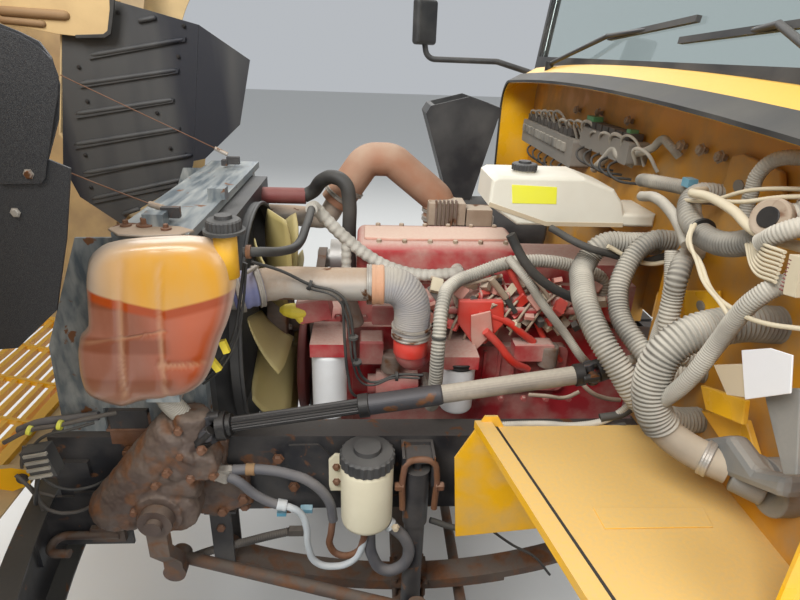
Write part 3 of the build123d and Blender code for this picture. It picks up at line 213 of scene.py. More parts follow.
def worn_paint(name, paint, dust, rust=None, gloss=0.35, dust_amount=0.5, rust_amount=0.25, metallic=0.0):
    """Paint with dust on what faces up, stains, and rust patches where rust is given."""
    finish = Finish(name, metallic=metallic)
    stains = finish.noise(9.0, 6.0)
    fine = finish.noise(120.0, 3.0)
    layer = finish.calculate("MULTIPLY", finish.facing_up(), dust_amount)
    patch = finish.ramp(stains, 0.38, 0.70, 0.0, dust_amount * 0.8)
    grime = finish.calculate("MAXIMUM", layer, patch)
    grime = finish.calculate("MULTIPLY", grime, finish.ramp(fine, 0.25, 0.75, 0.75, 1.0))
    shade = finish.mix(grime, paint, dust)
    if rust is not None:
        spots = finish.ramp(finish.noise(16.0, 8.0, distortion=0.6), 0.62 - rust_amount * 0.4, 0.66)
        dark = finish.mix(finish.noise(70.0, 4.0), rust, tuple(c * 0.45 for c in rust))
        shade = finish.mix(spots, shade, dark)
    finish.colour(shade)
    finish.rough(finish.ramp(grime, 0.0, 0.6, gloss, 0.85))
    finish.bump(fine, 0.0004, 0.35)
    return finish.material


def dusty_plastic(name, colour, dust, roughness=0.5, dust_amount=0.4, grain=260.0):
    """Moulded plastic or rubber with fine grain and dust."""
    finish = Finish(name)
    cloud = finish.noise(7.0, 5.0)
    grain_noise = finish.noise(grain, 2.0)
    layer = finish.calculate("MULTIPLY", finish.facing_up(), dust_amount * 0.7)
    film = finish.calculate("ADD", layer, finish.ramp(cloud, 0.35, 0.75, 0.0, dust_amount))
    finish.colour(finish.mix(film, colour, dust))
    finish.rough(finish.ramp(film, 0.0, 0.7, roughness, 0.9))
    finish.bump(grain_noise, 0.0003, 0.4)
    return finish.material


rust_brown = (0.20, 0.085, 0.035)

# Each look: its material's name, paint, dust, rust, gloss, dust amount, rust amount, metal
paints = {
    "frame_paint": ("chassis_paint", (0.022, 0.022, 0.025), (0.16, 0.14, 0.12), rust_brown, 0.4, 0.5, 0.05),
    "axle_rust": ("axle_rust", (0.075, 0.05, 0.038), (0.17, 0.14, 0.11), rust_brown, 0.6, 0.5, 0.4),
    "casting_dirty": ("oily_casting", (0.075, 0.05, 0.04), (0.25, 0.19, 0.14), rust_brown, 0.5, 0.5, 0.3),
    "engine_red": ("engine_red", (0.40, 0.018, 0.025), (0.50, 0.37, 0.30), None, 0.35, 0.95),
    "turbo_iron": ("turbo_iron", (0.16, 0.11, 0.085), (0.30, 0.25, 0.20), rust_brown, 0.6, 0.5, 0.3),
    "alloy": ("dull_alloy", (0.46, 0.45, 0.43), (0.40, 0.36, 0.30), None, 0.35, 0.5, 0.0, 0.75),
    "bus_yellow": ("bus_yellow", (0.90, 0.48, 0.012), (0.52, 0.40, 0.22), None, 0.22, 0.35),
    "header_metal": ("dusty_header", (0.13, 0.14, 0.145), (0.30, 0.29, 0.26), rust_brown, 0.5, 0.7, 0.1),
    "core": ("cooler_core", (0.10, 0.10, 0.10), (0.26, 0.23, 0.18), None, 0.5, 0.5, 0.0, 0.4),
    "wheel_paint": ("wheel_paint", (0.03, 0.03, 0.03), (0.16, 0.14, 0.11), rust_brown, 0.35, 0.4, 0.1),
    "filter_white": ("filter_white", (0.80, 0.80, 0.79), (0.45, 0.40, 0.33), None, 0.3, 0.3),
    "shaft_black": ("dusty_shaft", (0.06, 0.052, 0.045), (0.24, 0.19, 0.15), rust_brown, 0.5, 0.6, 0.1),
    "firewall_dusty": ("dusty_yellow", (0.60, 0.27, 0.014), (0.36, 0.27, 0.16), None, 0.35, 1.0),
    "fender_dusty": ("fender_dusty", (0.90, 0.47, 0.010), (0.50, 0.38, 0.20), None, 0.3, 0.75),
    "dust_heavy": ("thick_dust", (0.30, 0.22, 0.15), (0.52, 0.43, 0.33), rust_brown, 0.6, 0.9, 0.1),
    "rust_deep": ("deep_rust", (0.15, 0.065, 0.035), (0.30, 0.20, 0.14), rust_brown, 0.7, 0.5, 0.5),
    "red_worn": ("bright_red", (0.62, 0.035, 0.02), (0.50, 0.28, 0.24), None, 0.3, 0.35),
    "pink_dusty": ("dusty_pink", (0.55, 0.20, 0.15), (0.60, 0.42, 0.34), None, 0.5, 0.8),
    "foil": ("foil", (0.90, 0.90, 0.90), (0.74, 0.72, 0.68), None, 0.3, 0.3, 0.0, 0.2),
    "casting_grey": ("grey_casting", (0.17, 0.175, 0.17), (0.40, 0.36, 0.30), None, 0.35, 0.6),
    "panel_tan": ("tan_moulding", (0.60, 0.42, 0.20), (0.42, 0.28, 0.14), None, 0.6, 0.6),
    "bumper_black": (
        "bumper_paint", (0.022, 0.022, 0.024), (0.13, 0.12, 0.10), rust_brown, 0.35, 0.5, 0.02,
    ),
    "cover_dust": ("dusty_cover", (0.52, 0.23, 0.17), (0.60, 0.46, 0.36), None, 0.6, 0.95),
    "pipe_alloy": (
        "stained_alloy", (0.44, 0.40, 0.35), (0.40, 0.28, 0.18), rust_brown, 0.35, 0.9, 0.0, 0.35,
    ),
    "clamp_steel": (
        "clamp_steel", (0.42, 0.40, 0.36), (0.34, 0.26, 0.19), rust_brown, 0.35, 0.5, 0.05, 0.6,
    ),
    "grease_black": ("greasy_black", (0.020, 0.019, 0.019), (0.10, 0.085, 0.07), None, 0.3, 0.35, 0.0, 0.3),
    "tube_dark": ("dark_tube", (0.045, 0.045, 0.05), (0.14, 0.12, 0.11), rust_brown, 0.35, 0.4, 0.0, 0.4),
    "tube_dusty": ("dusty_tube", (0.17, 0.15, 0.13), (0.46, 0.40, 0.31), None, 0.55, 0.9),
}
# Each look: its material's name, colour, dust, roughness, dust amount, grain
plastics = {
    "black_plastic": ("black_plastic", (0.022, 0.022, 0.024), (0.20, 0.19, 0.17), 0.45, 0.35),
    "white_plastic": ("yellowed_white_plastic", (0.76, 0.73, 0.62), (0.50, 0.42, 0.30), 0.35, 0.3),
    "amber_plastic": ("amber_plastic", (0.60, 0.22, 0.06), (0.45, 0.30, 0.18), 0.3, 0.2),
    "cream_plastic": ("cream_plastic", (0.74, 0.68, 0.50), (0.45, 0.38, 0.26), 0.35, 0.3),
    "fan_plastic": ("fan_nylon", (0.62, 0.50, 0.29), (0.40, 0.32, 0.20), 0.45, 0.4),
    "brown_rubber": ("brown_silicone", (0.32, 0.13, 0.065), (0.44, 0.32, 0.23), 0.55, 0.7),
    "hose_grey": ("grey_hose", (0.20, 0.185, 0.16), (0.36, 0.32, 0.26), 0.6, 0.5),
    "rubber": ("black_rubber", (0.018, 0.018, 0.018), (0.17, 0.155, 0.13), 0.55, 0.35),
    "tyre": ("tyre_rubber", (0.020, 0.020, 0.020), (0.13, 0.12, 0.10), 0.7, 0.4),
    "loom": ("loom_grey", (0.15, 0.14, 0.12), (0.50, 0.46, 0.38), 0.6, 0.9),
    "loom_light": ("loom_dusty", (0.26, 0.24, 0.20), (0.52, 0.48, 0.40), 0.6, 0.9),
    "neck_amber": ("amber_neck", (0.80, 0.42, 0.02), (0.60, 0.40, 0.18), 0.3, 0.3),
    "conduit_dark": ("dark_conduit", (0.05, 0.045, 0.04), (0.20, 0.17, 0.14), 0.6, 0.6),
    "pipe_white": ("pale_pipe", (0.52, 0.56, 0.58), (0.42, 0.38, 0.33), 0.35, 0.35),
    "hose_worn": ("worn_hose", (0.075, 0.075, 0.085), (0.24, 0.22, 0.20), 0.5, 0.5),
    "plug_yellow": ("yellow_plug", (0.80, 0.62, 0.02), (0.50, 0.40, 0.20), 0.4, 0.3),
    "plug_green": ("green_plug", (0.10, 0.34, 0.14), (0.32, 0.32, 0.24), 0.5, 0.4),
    "plug_blue": ("blue_plug", (0.08, 0.30, 0.42), (0.40, 0.40, 0.36), 0.45, 0.4),
    "hose_tan": ("tan_hose", (0.19, 0.155, 0.115), (0.42, 0.35, 0.26), 0.6, 0.8),
    "card_tan": ("tan_card", (0.52, 0.42, 0.28), (0.45, 0.38, 0.28), 0.7, 0.5),
    "label_yellow": ("blank_label", (0.86, 0.84, 0.05), (0.62, 0.58, 0.30), 0.35, 0.25),
    "blade_olive": ("olive_nylon", (0.46, 0.37, 0.14), (0.40, 0.33, 0.19), 0.45, 0.4),
    "hood_brown": ("brown_moulding", (0.23, 0.13, 0.06), (0.42, 0.28, 0.14), 0.6, 0.4),
    "wire_cream": ("cream_wire", (0.62, 0.54, 0.38), (0.42, 0.35, 0.25), 0.5, 0.3),
    "sleeve_red": ("dark_red_sleeve", (0.16, 0.030, 0.028), (0.28, 0.16, 0.13), 0.55, 0.35),
    "wrap_white": ("wrapped_white", (0.58, 0.55, 0.48), (0.30, 0.27, 0.22), 0.6, 0.7, 60.0),
    "elbow_grey": ("ribbed_elbow", (0.23, 0.23, 0.26), (0.38, 0.34, 0.28), 0.6, 0.8),
    "coupling_blue": ("blue_coupling", (0.12, 0.15, 0.34), (0.36, 0.31, 0.28), 0.5, 0.5),
    "cuff_peach": ("peach_cuff", (0.55, 0.26, 0.14), (0.48, 0.33, 0.22), 0.55, 0.4),
}
looks = {look: worn_paint(*values) for look, values in paints.items()}
looks.update({look: dusty_plastic(*values) for look, values in plastics.items()})


def hood_finish():
    """Yellow outside, tan bare moulding inside."""
    finish = Finish("hood_moulding")
    outside = finish.outward(opened((1.300, 0.0, -0.100)))
    stains = finish.ramp(finish.noise(6.0, 6.0), 0.35, 0.75)
    inside = finish.mix(stains, (0.62, 0.45, 0.22), (0.36, 0.26, 0.15))
    finish.colour(finish.mix(outside, inside, (0.90, 0.48, 0.012)))
    finish.rough(finish.ramp(outside, 0.0, 1.0, 0.7, 0.22))
    finish.bump(finish.noise(60.0, 4.0), 0.0006, 0.3)
    return finish.material


def tank_finish():
    """Yellow above the coolant's level, a dark band at it, brown pink stripes below, pale at the seam."""
    middle_x = 1.650
    coolant_z = 0.576
    finish = Finish("cloudy_tank", roughness=0.28, coat=0.25)
    across = finish.axis("X")
    away = finish.calculate("ABSOLUTE", finish.calculate("SUBTRACT", across, middle_x))
    level = finish.calculate("ADD", finish.calculate("MULTIPLY", away, 0.24), coolant_z)
    height = finish.calculate("SUBTRACT", finish.axis("Z"), level)
    cloud = finish.noise(9.0, 5.0, (1, 1, 0.4))
    left = finish.ramp(across, 1.68, 1.82)
    upper = finish.mix(finish.ramp(cloud, 0.4, 0.7), (0.62, 0.29, 0.018), (0.54, 0.31, 0.10))
    upper = finish.mix(left, upper, (0.38, 0.31, 0.25))
    right_low = finish.mix(finish.ramp(height, -0.14, -0.05), (0.38, 0.065, 0.013), (0.44, 0.10, 0.04))
    left_low = finish.mix(finish.ramp(cloud, 0.35, 0.65), (0.22, 0.07, 0.034), (0.29, 0.12, 0.08))
    lower = finish.mix(finish.ramp(across, 1.60, 1.72), right_low, left_low)
    phase = finish.calculate("SUBTRACT", finish.calculate("MULTIPLY", finish.axis("Z"), 57.0), 0.9)
    wave = finish.calculate("SINE", phase)
    stripe = finish.calculate(
        "MULTIPLY",
        finish.ramp(wave, 0.2, 0.7, 0.0, 0.65),
        finish.ramp(across, 1.64, 1.66),
    )
    lower = finish.mix(stripe, lower, (0.17, 0.042, 0.016))
    lower = finish.mix(finish.ramp(finish.axis("Z"), 0.40, 0.32, 0.0, 0.8), lower, (0.33, 0.165, 0.10))
    lower = finish.mix(finish.ramp(height, -0.028, -0.018), lower, (0.33, 0.05, 0.006))
    whole = finish.mix(finish.ramp(height, -0.003, 0.003), lower, upper)
    whole = finish.mix(
        finish.ramp(finish.attribute("groove"), 0.1, 1.0, 0.0, 0.45),
        whole,
        (0.58, 0.36, 0.20),
    )
    finish.colour(
        finish.mix(finish.ramp(finish.attribute("rim"), 0.1, 1.0, 0.0, 0.75), whole, (0.42, 0.36, 0.30)),
    )
    finish.bump(finish.noise(40.0, 3.0), 0.0008, 0.25)
    return finish.material


def liner_finish():
    """Smooth dark sheet with a painted pattern of light and shadow on the far side, coarse grain on the
    near side.
    """
    finish = Finish("liner_sheet", roughness=0.5)
    near = finish.ramp(finish.axis("Y"), -0.01, 0.01)
    # The far side's pale streaks are painted light, and the dark sheet between them is painted shadow.
    streak = finish.ramp(finish.noise(2.6, 3.0, (1.6, 1, 0.25), 0.4), 0.46, 0.62)
    far_painted_light_and_shade = finish.mix(streak, (0.012, 0.013, 0.019), (0.055, 0.054, 0.052))
    grain = finish.ramp(finish.noise(700.0, 3.0), 0.40, 0.75)
    near_shade = finish.mix(grain, (0.013, 0.0135, 0.016), (0.055, 0.054, 0.053))
    finish.colour(finish.mix(near, far_painted_light_and_shade, near_shade))
    finish.bump(grain, 0.0006, 0.6)
    return finish.material


def header_finish():
    """Grey sheet under streaked blue grey dust, with a little rust."""
    finish = Finish("streaked_header", metallic=0.2)
    streak = finish.ramp(finish.noise(7.0, 6.0, (6.0, 0.7, 2.0), 0.3), 0.36, 0.66)
    shade = finish.mix(streak, (0.13, 0.155, 0.17), (0.33, 0.34, 0.32))
    spots = finish.ramp(finish.noise(24.0, 8.0, distortion=0.6), 0.64, 0.68)
    finish.colour(finish.mix(spots, shade, rust_brown))
    finish.rough(finish.ramp(streak, 0.0, 1.0, 0.35, 0.75))
    finish.bump(finish.noise(90.0, 4.0), 0.0005, 0.4)
    return finish.material


def clear_glass(name, tint):
    finish = Finish(name, roughness=0.02, transmission=1.0)
    finish.colour(tint)
    return finish.material


looks["fibreglass"] = hood_finish()
looks["glass"] = clear_glass("tinted_glass", (0.72, 0.82, 0.78))
looks["lamp"] = clear_glass("lamp_lens", (0.92, 0.94, 0.95))
looks["tank_cloudy"] = tank_finish()
looks["liner_sheet"] = liner_finish()
looks["header_streaked"] = header_finish()


def dress(obj, material):
    """The only material of a finished piece or a CAD node."""
    obj.data.materials.clear()
    obj.data.materials.append(material)


for part in frame["record"]["subparts"]:
    dress(nodes[part["node"]], looks[part["material_slot"]])

# Nodes whose look differs from their slot's
worn = {
    "firewall": "firewall_dusty",
    "hood_liners": "liner_sheet",
    "fan": "blade_olive",
    "filter_heads": "engine_red",
    "turbocharger": "dust_heavy",
    "inner_fenders": "fender_dusty",
    "bumper": "bumper_black",
}
for node_name, look in worn.items():
    dress(nodes[node_name], looks[look])


# Shapes shared by the pieces below. All the measures in their lists are millimetres.

forward = (1, 0, 0)
leftward = (0, 1, 0)
upward = (0, 0, 1)


def metres(values):
    return tuple(value * 0.001 for value in values)


def new_group(name, sockets):
    """A geometry node group with these number and material inputs."""
    tree = bpy.data.node_groups.new(name, "GeometryNodeTree")
    tree.interface.new_socket("Geometry", in_out="OUTPUT", socket_type="NodeSocketGeometry")
    tree.interface.new_socket("Geometry", in_out="INPUT", socket_type="NodeSocketGeometry")
    for socket, kind in sockets:
        tree.interface.new_socket(socket, in_out="INPUT", socket_type=kind)
    return tree, set_up(tree, "NodeGroupInput"), set_up(tree, "NodeGroupOutput")


def tube_nodes():
    """Curves become tubes of the curve's radius, with ribs along their length."""
    sockets = [("Step", "NodeSocketFloat"), ("Pitch", "NodeSocketFloat"), ("Depth", "NodeSocketFloat")]
    tree, given, result = new_group("tube", sockets + [("Material", "NodeSocketMaterial")])
    link = tree.links.new
    steps = set_up(tree, "GeometryNodeResampleCurve", mode="LENGTH")
    link(given.outputs["Geometry"], steps.inputs["Curve"])
    link(given.outputs["Step"], steps.inputs["Length"])
    along = set_up(tree, "GeometryNodeSplineParameter").outputs["Length"]
    turns = math_node(tree, "DIVIDE", along, given.outputs["Pitch"])
    wave = math_node(tree, "COSINE", math_node(tree, "MULTIPLY", turns, math.tau))
    dip = math_node(tree, "MULTIPLY", math_node(tree, "SUBTRACT", wave, 1.0), given.outputs["Depth"])
    factor = math_node(tree, "ADD", dip, 1.0)
    radius = set_up(tree, "GeometryNodeInputRadius").outputs[0]
    sides = 20
    circle = set_up(tree, "GeometryNodeCurvePrimitiveCircle")
    circle.inputs["Resolution"].default_value = sides
    circle.inputs["Radius"].default_value = 1.0
    skin = set_up(tree, "GeometryNodeCurveToMesh")
    skin.inputs["Fill Caps"].default_value = True
    link(steps.outputs[0], skin.inputs["Curve"])
    link(circle.outputs[0], skin.inputs["Profile Curve"])
    link(math_node(tree, "MULTIPLY", radius, factor), skin.inputs["Scale"])
    painted = set_up(tree, "GeometryNodeSetMaterial")
    link(skin.outputs[0], painted.inputs["Geometry"])
    link(given.outputs["Material"], painted.inputs["Material"])
    link(painted.outputs[0], result.inputs[0])
    return tree


def stamp_nodes():
    """Copies of one shape at points, turned and scaled by what each point holds."""
    sockets = [("Shape", "NodeSocketObject"), ("Material", "NodeSocketMaterial")]
    tree, given, result = new_group("stamp", sockets)
    link = tree.links.new
    shape = set_up(tree, "GeometryNodeObjectInfo")
    link(given.outputs["Shape"], shape.inputs["Object"])
    turned = set_up(tree, "FunctionNodeAlignRotationToVector", axis="Z")
    copies = set_up(tree, "GeometryNodeInstanceOnPoints")
    for name, socket in (("direction", turned.inputs["Vector"]), ("size", copies.inputs["Scale"])):
        held = set_up(tree, "GeometryNodeInputNamedAttribute", data_type="FLOAT_VECTOR")
        held.inputs["Name"].default_value = name
        link(held.outputs["Attribute"], socket)
    link(given.outputs["Geometry"], copies.inputs["Points"])
    link(shape.outputs["Geometry"], copies.inputs["Instance"])
    link(turned.outputs[0], copies.inputs["Rotation"])
    whole = set_up(tree, "GeometryNodeRealizeInstances")
    link(copies.outputs[0], whole.inputs[0])
    painted = set_up(tree, "GeometryNodeSetMaterial")
    link(whole.outputs[0], painted.inputs["Geometry"])
    link(given.outputs["Material"], painted.inputs["Material"])
    link(painted.outputs[0], result.inputs[0])
    return tree


groups = {"tube": tube_nodes(), "stamp": stamp_nodes()}


def built(obj, name, group, values, smooth=True):
    """The mesh that a node group makes of obj, as a plain new object; obj is removed."""
    modifier = obj.modifiers.new("build", "NODES")
    modifier.node_group = groups[group]
    for item in groups[group].interface.items_tree:
        if item.in_out == "INPUT" and item.name in values:
            modifier[item.identifier] = values[item.name]
    mesh = baked(obj)
    mesh.name = name
    for polygon in mesh.polygons:
        polygon.use_smooth = smooth
    return linked(name, mesh)


def tubes(name, routes, look, body="root", step=6.0, pitch=10.0, depth=0.0):
    """Hoses, pipes or wires: each route is its radius and the points it runs through."""
    curve = bpy.data.curves.new(name, "CURVE")
    curve.dimensions = "3D"
    for radius, points in routes:
        spline = curve.splines.new("BEZIER")
        spline.bezier_points.add(len(points) - 1)
        for knot, point in zip(spline.bezier_points, points):
            knot.co = metres(point)
            knot.radius = radius * 0.001
            knot.handle_left_type = "AUTO"
            knot.handle_right_type = "AUTO"
        spline.resolution_u = 24
    holder = linked(name + "_path", curve)
    values = {"Step": step * 0.001, "Pitch": pitch * 0.001, "Depth": depth, "Material": looks[look]}
    piece = built(holder, name, "tube", values)
    if body:
        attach(piece, body)
    return piece


def tube(name, radius, points, look, **settings):
    """One hose, pipe or cable."""
    return tubes(name, [(radius, points)], look, **settings)


def mesh_object(name, points, faces):
    mesh = bpy.data.meshes.new(name)
    mesh.from_pydata([tuple(point) for point in points], [], faces)
    mesh.update()
    if faces:
        facing = bmesh.new()
        facing.from_mesh(mesh)
        bmesh.ops.recalc_face_normals(facing, faces=facing.faces)
        facing.to_mesh(mesh)
        facing.free()
    return linked(name, mesh)


def ring_faces(rings, count, closed=False):
    """Faces between rings of count points; closed joins the last ring to the first."""
    faces = []
    for ring in range(rings if closed else rings - 1):
        near = ring * count
        far = (ring + 1) % rings * count
        for index in range(count):
            after = (index + 1) % count
            faces.append((near + index, near + after, far + after, far + index))
    return faces


def lathe(profile, count, dent=0.0, dents=0):
    """Points and faces of a profile of (radius, height) turned about Z; dents groove its rim."""
    points = []
    for radius, height in profile:
        for index in range(count):
            angle = math.tau * index / count
            press = 1.0 - dent * (0.5 + 0.5 * math.cos(angle * dents)) if dents and radius > 0.9 else 1.0
            points.append((radius * press * math.cos(angle), radius * press * math.sin(angle), height))
    faces = ring_faces(len(profile), count)
    faces.append(tuple(reversed(range(count))))
    last = (len(profile) - 1) * count
    faces.append(tuple(last + index for index in range(count)))
    return points, faces


def rounded_box(soft):
    """A box from -0.5 to 0.5 with softened edges, soft being their size."""
    inner = 0.5 - soft
    profile = [(-0.5, inner), (-inner, 0.5), (inner, 0.5), (0.5, inner)]
    points = []
    for height, reach in profile:
        for x, y in ((1, 1), (-1, 1), (-1, -1), (1, -1)):
            points.append((x * reach, y * reach, height))
    return points, [(3, 2, 1, 0), (12, 13, 14, 15)] + ring_faces(4, 4)


def blade():
    """A twisted fan blade in millimetres: Z runs outwards, X along the axle, Y the way it turns."""
    root = 96
    span = 262
    half_depth = 50
    root_width = 44
    tip_gain = 34
    belly = 9
    points = []
    for layer in (-2, 2):
        for row in range(13):
            share = row / 12
            reach = root + share * span
            deep = half_depth - 10 * max(0.0, share - 0.8) * 5
            for column in range(7):
                across = column / 3 - 1
                turn = across * (root_width + tip_gain * share)
                camber = belly * (1 - across * across)
                points.append((
                    -across * deep + camber + layer * 0.6,
                    turn + layer,
                    reach - turn * turn / (2.6 * reach),
                ))
    faces = []
    for layer in (0, 91):
        for row in range(12):
            for column in range(6):
                near = layer + row * 7 + column
                faces.append((near, near + 1, near + 8, near + 7))
    rim = list(range(0, 7)) + [row * 7 + 6 for row in range(1, 13)]
    rim += [84 + column for column in range(5, -1, -1)] + [row * 7 for row in range(11, 0, -1)]
    for index, point in enumerate(rim):
        after = rim[(index + 1) % len(rim)]
        faces.append((point, after, after + 91, point + 91))
    return points, faces


hex_head = [(1.35, 0.0), (1.35, 0.12), (1.0, 0.13), (1.0, 0.75), (0.82, 0.9)]
band = [
    (1.0, -0.5), (1.04, -0.4), (1.04, -0.2), (1.02, -0.1), (1.02, 0.1), (1.04, 0.2), (1.04, 0.4),
    (1.0, 0.5),
]
can = [(0.86, 0.0), (0.97, 0.03), (1.0, 0.08), (1.0, 0.92), (0.97, 0.97), (0.86, 1.0)]
knob = [(1.0, 0.0), (1.0, 0.62), (0.9, 0.72), (0.55, 0.76), (0.5, 0.76), (0.48, 1.0), (0.4, 1.0)]
capsule = [(0.35, -0.5), (0.8, -0.47), (1.0, -0.42), (1.0, 0.42), (0.8, 0.47), (0.35, 0.5)]
bulb = [(0.3, -1.0), (0.75, -0.7), (1.0, -0.2), (1.0, 0.2), (0.75, 0.7), (0.3, 1.0)]
unit_shapes = {
    "bolt": lathe(hex_head, 6),
    "band": lathe(band, 40),
    "can": lathe(can, 40),
    "rod": lathe([(1.0, 0.0), (1.0, 1.0)], 24),
    "cap": lathe(knob, 96, 0.05, 24),
    "spline": lathe([(1.0, 0.0), (1.0, 1.0)], 128, 0.14, 16),
    "bar": lathe(capsule, 16),
    "blob": lathe(bulb, 14),
    "box": rounded_box(0.06),
    "crate": rounded_box(0.02),
    "blade": blade(),
}


def stamps(name, shape, places, look, body="root", smooth=False):
    """Copies of a unit shape: each place is a centre, the direction of its Z and its sizes."""
    unit = mesh_object(name + "_unit", *unit_shapes[shape])
    cloud = mesh_object(name + "_points", [metres(place[0]) for place in places], [])
    for label, column in (("direction", 1), ("size", 2)):
        held = cloud.data.attributes.new(label, "FLOAT_VECTOR", "POINT")
        for index, place in enumerate(places):
            value = place[column] if column == 1 else metres(place[column])
            held.data[index].vector = value
    piece = built(cloud, name, "stamp", {"Shape": unit, "Material": looks[look]}, smooth)
    bpy.data.objects.remove(unit)
    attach(piece, body)
    return piece


def between(start, end, width):
    """A place for a stamp whose Z runs from start to end."""
    line = Vector(end) - Vector(start)
    return (start, tuple(line), (width, width, line.length))


def prism(outline, axis, low, high):
    """Points and faces of an outline across one axis, from low to high along it."""
    order = {"x": (2, 0, 1), "y": (0, 2, 1), "z": (0, 1, 2)}[axis]
    points = []
    for level in (low, high):
        for u, v in outline:
            values = (u, v, level)
            points.append(metres((values[order[0]], values[order[1]], values[order[2]])))
    count = len(outline)
    ends = [tuple(reversed(range(count))), tuple(count + index for index in range(count))]
    return points, ends + ring_faces(2, count)


def slab(name, outline, axis, low, high, look, body="root", edge=2.0):
    """A plate with softened edges."""
    piece = mesh_object(name, *prism(outline, axis, low, high))
    bevel = piece.modifiers.new("edge", "BEVEL")
    bevel.width = edge * 0.001
    bevel.segments = 2
    bevel.limit_method = "ANGLE"
    piece = linked(name, baked(piece))
    dress(piece, looks[look])
    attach(piece, body)
    return piece


# Wiring looms and hoses: ribbed or smooth, over the plain pipes of the frame

big_loom = (32, [
    (388, 270, 655), (470, 270, 655), (545, 270, 650), (592, 285, 600), (628, 375, 578), (642, 510, 530),
    (600, 595, 455), (520, 634, 360), (455, 640, 332), (388, 640, 330),
])
middle_loom = (27, [
    (388, 350, 690), (450, 350, 688), (520, 378, 620), (547, 440, 535), (530, 520, 484), (478, 592, 442),
    (388, 600, 440),
])
outer_loom = (38, [
    (388, 780, 655), (480, 780, 655), (590, 780, 610), (616, 780, 530), (600, 786, 455), (580, 792, 425),
])
upper_loom = (25, [
    (388, 520, 850), (460, 520, 850), (500, 575, 820), (505, 660, 796), (503, 780, 822), (497, 855, 880),
    (450, 880, 925), (388, 880, 930),
])
thin_loom = (18, [
    (388, 185, 815), (425, 188, 815), (445, 240, 825), (445, 400, 845), (430, 460, 850), (388, 465, 850),
])
engine_loom = (20, [
    (480, 172, 463), (482, 172, 505), (530, 175, 535), (758, 200, 572), (880, 210, 536), (950, 250, 520),
    (990, 345, 500), (1003, 405, 420), (1005, 408, 290), (1005, 370, 195), (1005, 290, 160),
    (1005, 168, 160),
])
mesh_loom = (24, [
    (395, 470, 700), (450, 520, 705), (500, 590, 690), (503, 594, 627), (500, 600, 560), (470, 598, 500),
    (395, 600, 470),
])
loom_routes = [big_loom, middle_loom, outer_loom, upper_loom, thin_loom, engine_loom, mesh_loom]
wiring_looms = tubes("wiring_looms", loom_routes, "loom", step=1.6, pitch=9.0, depth=0.06)
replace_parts(wiring_looms, "loom_hoses")
tube("loom_end_hose", 33, [
    (590, 789, 440), (572, 796, 416), (545, 822, 400), (515, 850, 392), (476, 880, 387),
], "hose_tan")
stamps("loom_end_clamp", "band", [((508, 856, 391), (-0.72, 0.66, -0.1), (36, 36, 18))], "clamp_steel")
casting = [between((466, 884, 390), (420, 924, 384), 46), between((388, 930, 382), (430, 930, 382), 56)]
stamps("loom_casting", "can", casting, "casting_grey")
small_looms = [
    (13, [
        (800, 250, 600), (753, 300, 554), (709, 300, 494), (664, 300, 439), (617, 300, 384),
        (575, 320, 330), (540, 290, 290),
    ]),
    (16, [(500, 540, 727), (500, 575, 620), (498, 560, 516), (500, 558, 449)]),
    (9, [(855, 545, 248), (745, 545, 251), (638, 545, 247), (562, 545, 269), (497, 545, 339)]),
    (17, [
        (602, 786, 470), (585, 840, 560), (560, 866, 666), (560, 889, 717), (555, 914, 766),
        (530, 930, 800), (470, 940, 815), (395, 940, 815),
    ]),
    (13, [(440, -139, 783), (440, -72, 827), (440, -1, 869), (440, 38, 854), (400, 60, 835)]),
    (11, [
        (410, -4, 839), (425, 119, 877), (425, 200, 905), (425, 249, 935), (425, 290, 925), (400, 300, 900),
    ]),
    (13, [(470, 286, 792), (490, 406, 814), (495, 489, 804), (500, 550, 785), (505, 600, 760)]),
    (14, [(480, 725, 850), (480, 725, 908), (480, 729, 937), (470, 750, 968), (440, 793, 980)]),
    (17, [(540, 870, 850), (535, 905, 880), (480, 930, 910)]),
]
tubes("small_looms", small_looms, "loom_light", step=1.2, pitch=5.0, depth=0.05)
black_hoses = [
    (13, [(820, 320, 690), (775, 330, 618), (724, 330, 567), (666, 330, 532), (600, 335, 505)]),
    (10, [(691, 250, 690), (620, 330, 665), (530, 330, 640), (459, 330, 623), (392, 330, 640)]),
    (7, [(848, 545, 232), (729, 545, 229), (609, 545, 231), (519, 545, 250)]),
    (11, [(589, 545, 269), (526, 545, 287), (489, 540, 339)]),
    (9, [(1002, 470, -146), (910, 470, -179), (731, 470, -150), (597, 470, -200)]),
    (4, [(814, 470, -190), (743, 470, -250), (669, 470, -300), (608, 470, -380)]),
]
tubes("black_hoses", black_hoses, "rubber")

# Wires: black and cream ones, with ties
harness = [
    (1479, 420, 640), (1413, 402, 612), (1340, 402, 575), (1265, 402, 548), (1242, 402, 504),
    (1231, 400, 429), (1221, 400, 350), (1196, 390, 287), (1171, 385, 277), (1111, 385, 300),
    (1039, 400, 309),
]
beside = [(x + 9, y + 5, z - 7) for x, y, z in harness[2:]]
black_wires = [
    (4, harness),
    (3, beside),
    (4, [(1257, 395, 530), (1253, 395, 399), (1245, 395, 306), (1231, 390, 241), (1180, 330, 200)]),
    (4, [(1482, 480, 660), (1499, 486, 565), (1521, 486, 471), (1570, 490, 385), (1602, 480, 345)]),
    (3, [(1476, 486, 660), (1490, 492, 560), (1512, 490, 466), (1560, 494, 380), (1610, 480, 330)]),
    (5, [(2041, 520, 93), (2070, 520, 7), (2090, 500, -40)]),
    (4, [(2060, 505, 150), (2020, 500, 185), (1960, 495, 200), (1905, 470, 205)]),
    (4, [(2050, 520, 80), (1990, 530, 40), (1930, 500, 20), (1900, 445, 10)]),
]
for index in range(7):
    y = -900 + index * 90
    black_wires.append((4, [(440, y, 755), (470, y + 30, 730), (450, y + 60, 700), (400, y + 20, 690)]))
